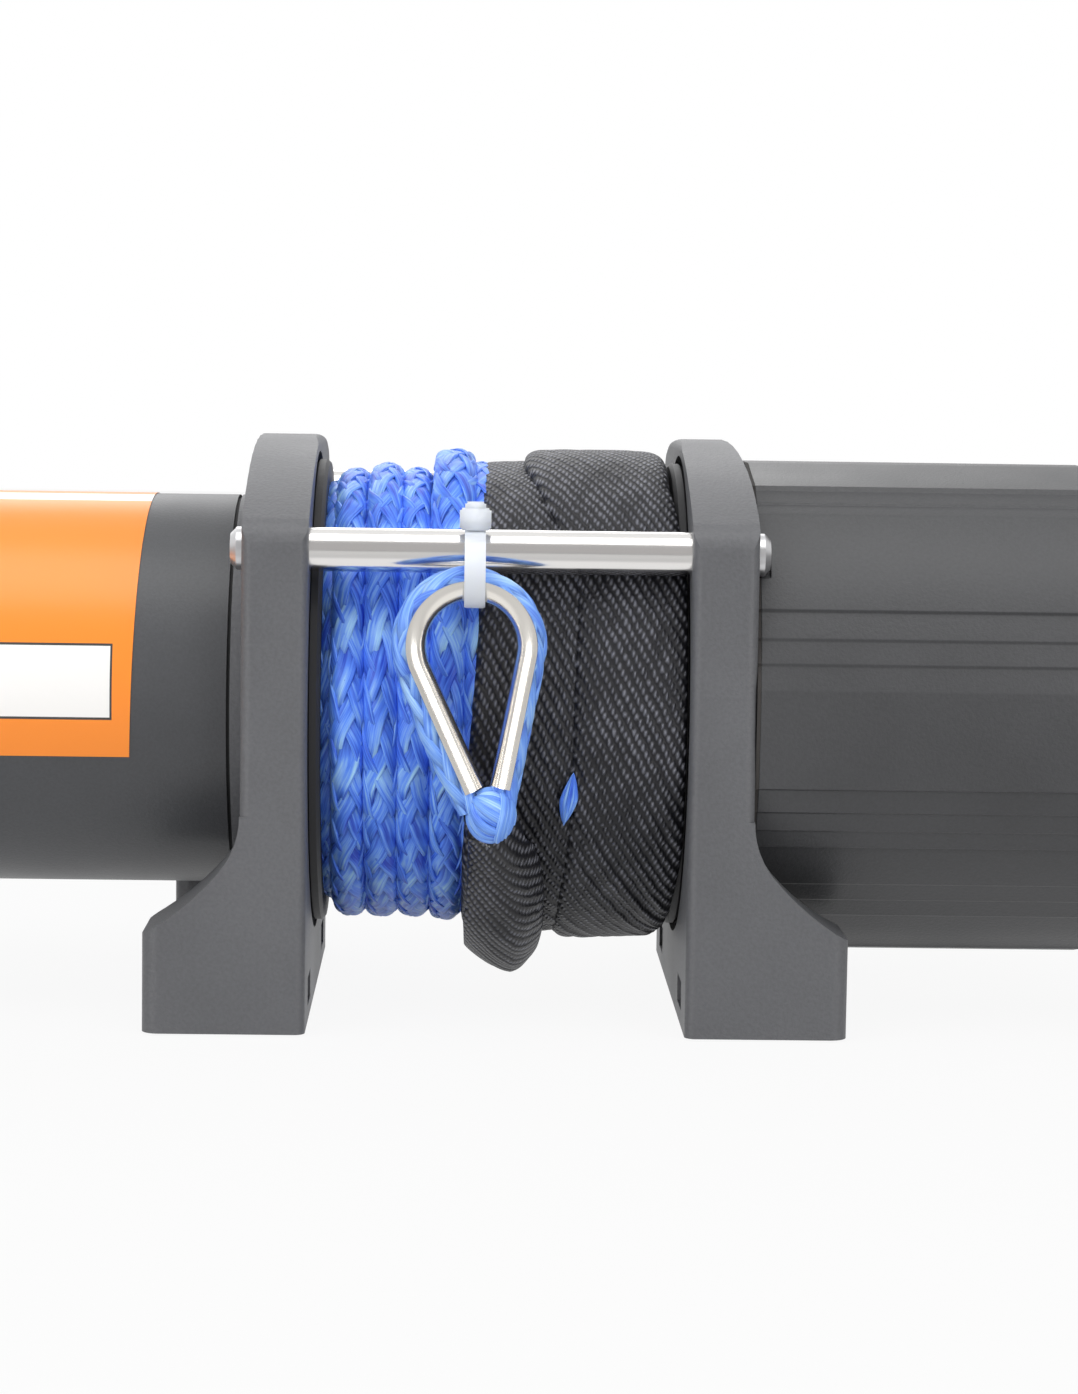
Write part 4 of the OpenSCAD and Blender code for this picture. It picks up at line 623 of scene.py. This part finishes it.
def place_on_tail(run):
    """Middle of the flat tube and its outward direction: down the straight, then round the drum."""
    if run < 0:
        return np.array([0, mouth_y, mouth_z - run]), np.array([0, -1.0, 0])
    if run < straight:
        start = np.array([0, -bend_r * math.cos(bend), bend_z - bend_r * math.sin(bend)])
        tip = min(1, run / 0.006)
        out = np.array([0, -downward * tip - (1 - tip), -rearward * tip])
        return start + np.array([0, rearward, -downward]) * (run - straight), out / np.linalg.norm(out)
    angle = bend + (run - straight) / bend_r
    out = np.array([0, -math.cos(angle), -math.sin(angle)])
    return np.array([0, 0, bend_z]) + bend_r * out, out


tail_l, tail_rows, lining_rows, front_columns, back_columns = 0.0844, 210, 16, 76, 26
columns = front_columns + back_columns
depths_at = [-0.008, 0.0, 0.012, 0.034, 0.080, tail_l]
shell = []
for lining in (False, True):
    points, uv = [], []
    for i in range(lining_rows if lining else tail_rows):
        for k in range(columns):
            front = k < front_columns
            s = k / (front_columns - 1) if front else 1 - (k - front_columns + 1) / (back_columns + 1)
            swell = math.sin(math.pi * s)
            lip = 0.0004 - 0.0072 * abs(2 * s - 0.86) ** 1.6 if front else -0.0068 - 0.0012 * swell
            share = i * 0.0075 if lining else i / (tail_rows - 1)
            run = lip + (tail_l - lip) * share
            middle, out = place_on_tail(run)
            left = np.interp(run, [-0.007, 0.003, 0.030, 0.036, 0.044, 0.084],
                             [-0.0080, -0.0066, -0.0068, -0.0076, -0.0074, -0.0070])
            right = np.interp(run, [-0.008, 0.002, 0.012, 0.024, 0.040, 0.084],
                              [0.0034, 0.0072, 0.0100, 0.0112, 0.0113, 0.0095])
            apex = 0.60 + 0.04 * min(1, max(0, run / 0.03))
            side = s / apex if s < apex else (1 - s) / (1 - apex)
            side = side - 0.2 * max(0, side - 0.5) ** 2 / 0.25
            full = 0.62 + (0.20 if s < apex else 0.05) * min(1, max(0, run / 0.034))
            thick = max(side / 0.8, 0) ** full
            deep = np.interp(run, depths_at, [0.0034, 0.0036, 0.0033, 0.0038, 0.0030, 0.0004])
            back = np.interp(run, depths_at, [0.0030, 0.0033, 0.0030, 0.0032, 0.0030, 0.0004])
            x = left + (right - left) * s
            ribs = 296 * x - 300 * run
            floats = 955 * x + 350 * run
            rise = thick * (deep + back) - back if front else -back + 0.0004 * swell
            fold = math.sin(run * 520 - s * 9) * swell * (0.00012 + 0.0002 * s)
            relief = (abs(math.cos(math.pi * ribs)) - 0.6) * 0.00016 * min(1, 6 * s * (1 - s))
            rise += (fold + relief) * front
            if lining:
                x = x + (0.5 - s) * 0.0011
                rise = rise - 0.0006 if front else rise + 0.0006
            points.append(middle + np.array([x, 0, 0]) + out * rise)
            uv.append((ribs, floats))
    shell.append((np.array(points).reshape(-1, columns, 3), np.array(uv).reshape(-1, columns, 2)))
(rim, rim_uv), (lining, lining_uv) = shell
grid = np.concatenate([lining[::-1], rim])
uv = np.concatenate([lining_uv[::-1], rim_uv])
quads, corners = skin_grid(len(grid), columns, False)
tail = mesh_from("tail_of_sleeve", grid.reshape(-1, 3), quads, sleeve_cloth,
                 uv[corners[..., 0], corners[..., 1] % columns])
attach(tail, "frame")
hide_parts("tail_sleeve")
stitch_thread = plain("grey stitching thread", (0.30, 0.30, 0.29), 0.6, grain=3000, share=0.3)
sewing, steps, sides = [], 9, 8
along = np.linspace(0, 1, steps)[:, None]
for number in range(9):
    column = 2 + number * 3
    a, b = rim[3, column], rim[3 + (number % 2), column + 2]
    spine = a + (b - a) * along + np.array([0, -0.00035, 0.0002]) * np.sin(np.pi * along)
    sewing.append((loop_of(spine, sides, 0.00022, (0.5, 0, 0.8), (0, -1.0, 0)),
                   skin_grid(steps, sides, False)[0] + number * steps * sides))
hem = joined(sewing, "hem_stitches", stitch_thread)
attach(hem, "frame")


# The thimble is a gutter of polished stainless sheet, bent to a teardrop with square-cut legs.
# The rope lies in it and is spliced below it, and a cable tie holds it up to the front tie bar.
thimble_r = 0.0147
crown = np.array([-0.0064, -0.0640, 0.104374 - thimble_r])
tilt = math.radians(7)
foot_x, foot_z, crown_r = 4.9, 33.3, 14.7
leg_turn = math.acos(crown_r / math.hypot(foot_x, foot_z)) - math.atan2(foot_z, foot_x)
leg_run = math.sqrt(foot_x ** 2 + foot_z ** 2 - crown_r ** 2) / 1000


def teardrop(run_on, step, lean=0.0, tuck=0.0):
    """Places along the teardrop's outer edge from the right leg over the crown to the left leg,
    with the outward direction at each. lean bows the left leg out, and tuck draws the right in."""
    legs = np.arange(0, leg_run + run_on, step)
    bow = lean * np.sin(np.clip(legs / (leg_run + run_on), 0, 1) * np.pi)
    arc = np.arange(leg_turn, math.pi - leg_turn, step / thimble_r)
    flat = [(leg_turn, run, -tuck) for run in legs[::-1]]
    flat += [(a, 0, -tuck * max(0, math.cos(a)) ** 0.7) for a in arc[1:]]
    flat += [(math.pi - leg_turn, -run, off) for run, off in zip(legs, bow)]
    places, outs = [], []
    for a, run, off in flat:
        x = (thimble_r + off) * math.cos(a) + run * math.sin(a)
        z = (thimble_r + off) * math.sin(a) - run * math.cos(a)
        places.append(crown + (x * math.cos(tilt) - z * math.sin(tilt), 0,
                               x * math.sin(tilt) + z * math.cos(tilt)))
        outs.append((math.cos(a + tilt), 0, math.sin(a + tilt)))
    return np.array(places), np.array(outs)


def polished(name, colour, roughness, grain=(1, 1, 1), depth=0.0000004):
    """Bright metal with fine rubbing marks and faint changes of gloss."""
    made, tree, shader = surface(name, {"Metallic": 1, "Base Color": (*colour, 1)})
    where = add(tree, "TexCoord")
    stretch = add(tree, "Mapping", {"Scale": grain})
    marks = add(tree, "TexNoise", {"Scale": 120, "Detail": 1})
    cloud = add(tree, "TexNoise", {"Scale": 60})
    bump = add(tree, "Bump", {"Distance": depth})
    gloss = rescale(tree, cloud.outputs["Fac"], 0, 1, roughness - 0.05, roughness + 0.07)
    wire(tree, (where, "Object", stretch, "Vector"), (stretch, 0, marks, "Vector"),
         (where, "Object", cloud, "Vector"), (gloss, shader, "Roughness"), (marks, "Fac", bump, "Height"),
         (bump, "Normal", shader, "Normal"))
    return made


def crisped(piece, degrees):
    """Smooth shading that stops at edges sharper than this."""
    piece.modifiers.new("crisp edges", "EDGE_SPLIT").split_angle = math.radians(degrees)


stainless = polished("polished stainless", (0.84, 0.81, 0.76), 0.2)
places, outs = teardrop(0, 0.0006)
outer_r, inner_r, lip_out, lip_in, lip_end = 0.0043, 0.0032, 0.0040, 0.0035, 0.00012
half_turn = np.linspace(math.pi / 2, -math.pi / 2, 25)
section = [(-0.0002 - outer_r * math.cos(a), outer_r * math.sin(a)) for a in half_turn]
section += [(0.0, -outer_r), (lip_end, -lip_out), (lip_end, -lip_in), (0.0, -inner_r)]
section += [(-0.0002 - inner_r * math.cos(a), inner_r * math.sin(a)) for a in -half_turn]
section += [(0.0, inner_r), (lip_end, lip_in), (lip_end, lip_out), (0.0, outer_r)]
section = np.array(section)
rearwards = np.array([0, 1.0, 0])
grid = places[:, None, :] + outs[:, None, :] * section[None, :, :1] + rearwards * section[None, :, 1:]
halfway = (section + section[::-1]) / 2
thin = [places[row] + outs[row] * halfway[:, :1] + rearwards * halfway[:, 1:] for row in (0, -1)]
grid = np.concatenate([thin[0][None], grid, thin[1][None]], 0)
quads, corners = skin_grid(len(grid), len(section), False)
channel = mesh_from("thimble_gutter", grid.reshape(-1, 3), quads, stainless)
crisped(channel, 50)
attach(channel, "frame")
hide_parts("thimble")


# The eye of the rope is the same braid. It fills the gutter, stands a little proud of it, and
# its legs come together in the splice, a knob of strands that turns down into the sleeve.
places, outs = teardrop(0.0045, 0.0011, lean=0.0011, tuck=0.0011)
count = len(places)
forward = np.tile([0.0, -1.0, 0.0], (count, 1))
eye = braid("rope_eye_braid", places + outs * 0.0001, outs, forward, np.full(count, 0.0031),
            np.full(count, 0.0033), 2, False, pale_fibre, 21, yarn_w=0.0017, yarn_h=0.0008)
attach(eye, "frame")
knob = np.array([-0.0017, -0.0650, 0.0514])
knob_size = np.array([0.0048, 0.0044, 0.0056])
pole = np.array([-0.74, -0.12, 0.66])
pole /= np.linalg.norm(pole)
side_a = np.cross(pole, (0, 1, 0))
side_a /= np.linalg.norm(side_a)
side_b = np.cross(pole, side_a)
swerve = np.random.default_rng(5)
parts, under_strands, over_strands, steps, sides = [], 24, 6, 28, 10
around = 2 * np.pi * np.arange(sides) / sides
width = 0.00105 * np.sin(np.linspace(0.15, math.pi - 0.15, steps)) ** 0.5 + 0.0001
quads, corners = skin_grid(steps, sides, False)
for strand in range(under_strands + over_strands):
    if strand < under_strands:
        longitude = 2 * math.pi * strand / under_strands
        latitude = np.linspace(0.2, math.pi - 0.12, steps)
        twist, lie_over = 0.8 * (latitude / math.pi) ** 2, 0
    else:
        longitude = 2 * math.pi * (0.30 + 0.055 * (strand - under_strands))
        latitude = np.linspace(1.1, 2.6, steps)
        twist, lie_over = -1.9 * (latitude - 1.1) + 1.6, 0.0004
    swirl = longitude + swerve.uniform(-0.12, 0.12) + twist
    aim = (np.cos(latitude)[:, None] * pole + np.sin(latitude)[:, None]
           * (np.cos(swirl)[:, None] * side_a + np.sin(swirl)[:, None] * side_b))
    spine = knob + aim * (knob_size + swerve.uniform(-0.0003, 0.0003) + lie_over)
    along = np.gradient(spine, axis=0)
    along /= np.linalg.norm(along, axis=1)[:, None]
    across = np.cross(along, aim)
    loop = (spine[:, None, :] + across[:, None, :] * (width[:, None] * np.cos(around))[:, :, None]
            + aim[:, None, :] * (0.0007 * np.sin(around))[None, :, None])
    parts.append((loop, quads + strand * steps * sides,
                  np.stack([corners[..., 0] * 0.0006 + strand * 0.37, corners[..., 1] / sides + strand], -1)))
# Strand height 0.95 gives the splice hardly any painted shade.
splice = joined(parts, "rope_splice", pale_fibre, 0.95)
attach(splice, "frame")
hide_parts("rope_eye")


# The cable tie is natural nylon. Its toothed strap loops once round the bar and the thimble's
# crown, through the square head that sits on top, and the cut end stands out of the head.
tie_nylon, tree, shader = surface("natural nylon", {
    "Base Color": (0.80, 0.84, 0.90, 1), "Roughness": 0.38, "Subsurface Weight": 0.35,
    "Subsurface Radius": (0.002, 0.002, 0.0024), "Transmission Weight": 0.12, "IOR": 1.5})
grains = add(tree, "TexNoise", {"Scale": 500})
bump = add(tree, "Bump", {"Distance": 0.00004})
wire(tree, (grains, "Fac", bump, "Height"), (bump, "Normal", shader, "Normal"))
tie_x, bar_r, crown_loop_r = -0.00585, 0.0051, 0.0066
bar_at = np.array([-0.0527985, 0.110174])
crown_at = np.array([-0.0640, 0.104374 - 0.0045 - 0.0006 + crown_loop_r])
line = crown_at - bar_at
facing = math.atan2(line[1], line[0])
spread = math.acos((bar_r - crown_loop_r) / np.linalg.norm(line))
loop = []
for centre, radius, start, stop in ((bar_at, bar_r, facing + spread, facing + 2 * math.pi - spread),
                                    (crown_at, crown_loop_r, facing - spread, facing + spread)):
    for a in np.linspace(start, stop, 40):
        loop.append((centre[0] + radius * math.cos(a), centre[1] + radius * math.sin(a),
                     math.cos(a), math.sin(a)))
loop = np.array(loop)
pitches = 240
lengths = np.hypot(*np.diff(np.vstack([loop, loop[:1]])[:, :2], axis=0).T)
even = np.concatenate([[0], np.cumsum(lengths)])
fine = np.linspace(0, even[-1], pitches + 1)[:-1]
loop = np.stack([np.interp(fine, even, np.append(loop[:, j], loop[0, j])) for j in range(4)], 1)
strap = []
for number, (y, z, out_y, out_z) in enumerate(loop):
    notch = 0.00022 * (number % 2)
    for x, out in ((-0.00235, 0.0001), (-0.00235, 0.0010), (-0.0019, 0.0012), (0.0019, 0.0012),
                   (0.00235, 0.0010), (0.00235, 0.0001), (0.0016, 0.0), (0.0015, notch),
                   (-0.0015, notch), (-0.0016, 0.0)):
        strap.append((tie_x + x, y + out_y * out, z + out_z * out))
strap = mesh_from("cable_tie_strap", strap, skin_grid(pitches, 10, True)[0], tie_nylon)
crisped(strap, 40)
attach(strap, "frame")
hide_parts("cable_tie")
head = bmesh.new()
for middle, size in (((tie_x, -0.0580, 0.1177), (0.0071, 0.0052, 0.0049)),
                     ((tie_x, -0.0586, 0.1205), (0.0047, 0.0013, 0.0024))):
    for vert in bmesh.ops.create_cube(head, size=1)["verts"]:
        vert.co = Vector([m + c * s for m, c, s in zip(middle, vert.co, size)])
bmesh.ops.bevel(head, geom=list(head.edges), offset=0.0005, segments=3, affect="EDGES", clamp_overlap=True)
for face in head.faces:
    face.smooth = True
head_mesh = bpy.data.meshes.new("cable_tie_head")
head.to_mesh(head_mesh)
head.free()
head_mesh.materials.append(tie_nylon)
tie_head = bpy.data.objects.new("cable_tie_head", head_mesh)
bpy.context.scene.collection.objects.link(tie_head)
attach(tie_head, "frame")


# The two tie bars are drawn stainless rod, bright all round, with the marks of the die along it.
bar_steel = polished("drawn stainless bar", (0.80, 0.785, 0.77), 0.15, grain=(0.02, 1, 1), depth=0.000003)
for bar in ("front_tie_bar", "rear_tie_bar"):
    coloured(bar, bar_steel)
    nodes[bar].data.shade_smooth()


# Small hardware is zinc plated, and the screws of the tie bars have domed heads. The pieces
# inside the motor, drum and gear case take the plain finish of their own material.
planets = ["%s_planet_%s" % (stage, one) for stage in ("first", "second", "output") for one in "abc"]
for material, names in (
        (polished("zinc plate", (0.62, 0.62, 0.63), 0.3),
         ("tie_bar_screws", "mounting_nuts", "motor_bolts", "cover_bolts", "front_bearing", "brush_springs")),
        (plain("blackened steel", (0.03, 0.03, 0.032), 0.42, metallic=0.6),
         ("rope_set_screw", "brake_spring")),
        (plain("machined gear steel", (0.33, 0.33, 0.34), 0.32, metallic=1, grain=900),
         ("ring_gear", "output_carrier", "second_carrier", "first_carrier", "input_sun_gear",
          "hex_drive_shaft", "armature_shaft", "clutch_slider", "shaft_coupling", "brake_hub", *planets)),
        (plain("drum paint", (0.016, 0.016, 0.018), 0.55, grain=700, share=0.2, depth=0.00003),
         ("drum",)),
        (plain("winding copper", (0.55, 0.24, 0.10), 0.35, metallic=1, grain=1200),
         ("armature_windings", "commutator")),
        (plain("terminal brass", (0.62, 0.45, 0.2), 0.3, metallic=1),
         ("terminal_studs", "terminal_nuts", "rear_bush")),
        (plain("black moulding", (0.02, 0.02, 0.021), 0.45, depth=0.00004),
         ("brush_holder", "terminal_washers", "clutch_knob")),
        (plain("sintered magnet", (0.05, 0.048, 0.047), 0.6), ("field_magnets",)),
        (plain("friction lining", (0.09, 0.075, 0.06), 0.8, grain=400, share=0.3),
         ("brake_shoes", "carbon_brushes")),
        (plain("core laminations", (0.2, 0.2, 0.21), 0.45, metallic=1, grain=1500), ("armature_core",))):
    for name in names:
        coloured(name, material)


# The label is a glossy orange film on the motor can, with a bare white strip along its top and
# an empty white box with a border, where the maker would print.
label, tree, shader = surface("orange label", {"Roughness": 0.32})
where = add(tree, "TexCoord")
split = add(tree, "SeparateXYZ")
wire(tree, (where, "Object", split, 0))
above_axle = calc(tree, "SUBTRACT", split.outputs["Z"], axle)
turn = calc(tree, "ARCTAN2", above_axle, calc(tree, "MULTIPLY", split.outputs["Y"], -1))


def between(value, low, high):
    """A mask that is 1 where value lies between low and high."""
    return calc(tree, "MULTIPLY", calc(tree, "GREATER_THAN", value, low),
                calc(tree, "LESS_THAN", value, high))


def box_mask(low, high, left, right):
    """A mask that is 1 between two angles in degrees and two places along the can."""
    return calc(tree, "MULTIPLY", between(turn, math.radians(low), math.radians(high)),
                between(split.outputs["X"], left, right))


film_tone = (0.93, 0.27, 0.03, 1)
for mask, print_tone in ((between(turn, math.radians(75.2), math.radians(84)), (0.86, 0.78, 0.70, 1)),
                         (box_mask(-4, 17.5, -0.1215, -0.0886), (0.05, 0.05, 0.05, 1)),
                         (box_mask(-3.3, 16.8, -0.1210, -0.0891), (0.88, 0.87, 0.85, 1))):
    printed = add(tree, "Mix", {"B": print_tone}, data_type="RGBA")
    tree.links.new(mask, printed.inputs["Factor"])
    if isinstance(film_tone, tuple):
        printed.inputs["A"].default_value = film_tone
    else:
        tree.links.new(film_tone, printed.inputs["A"])
    film_tone = printed.outputs["Result"]
grains = add(tree, "TexNoise", {"Scale": 300})
bump = add(tree, "Bump", {"Distance": 0.00003})
wire(tree, (where, "Object", grains, "Vector"), (grains, "Fac", bump, "Height"),
     (bump, "Normal", shader, "Normal"), (film_tone, shader, "Base Color"))
rows, columns, film_left = 116, 24, -0.1272
film = []
for film_r in (0.04705, 0.04692):
    for i in range(rows):
        a = math.radians(-14.7 + 114.4 * i / (rows - 1))
        film_right = np.interp(math.degrees(a), [-15, 75, 100], [-0.0847, -0.0827, -0.0822])
        for k in range(columns):
            film.append((film_left + (film_right - film_left) * k / (columns - 1), -film_r * math.cos(a),
                         axle + film_r * math.sin(a)))
quads = []
for face in range(2):
    for i in range(rows - 1):
        for k in range(columns - 1):
            four = [(face * rows + i + p) * columns + k + q for p, q in ((0, 0), (0, 1), (1, 1), (1, 0))]
            quads.append(four if face == 0 else four[::-1])
border = [(i, 0) for i in range(rows)] + [(rows - 1, k) for k in range(1, columns)]
border += [(i, columns - 1) for i in range(rows - 2, -1, -1)] + [(0, k) for k in range(columns - 2, 0, -1)]
for (i, k), (j, m) in zip(border, border[1:] + border[:1]):
    one, two = i * columns + k, j * columns + m
    quads.append((one, two, two + rows * columns, one + rows * columns))
sticker = mesh_from("orange_label_film", film, quads, label)
crisped(sticker, 50)
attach(sticker, "frame")
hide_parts("motor_label")
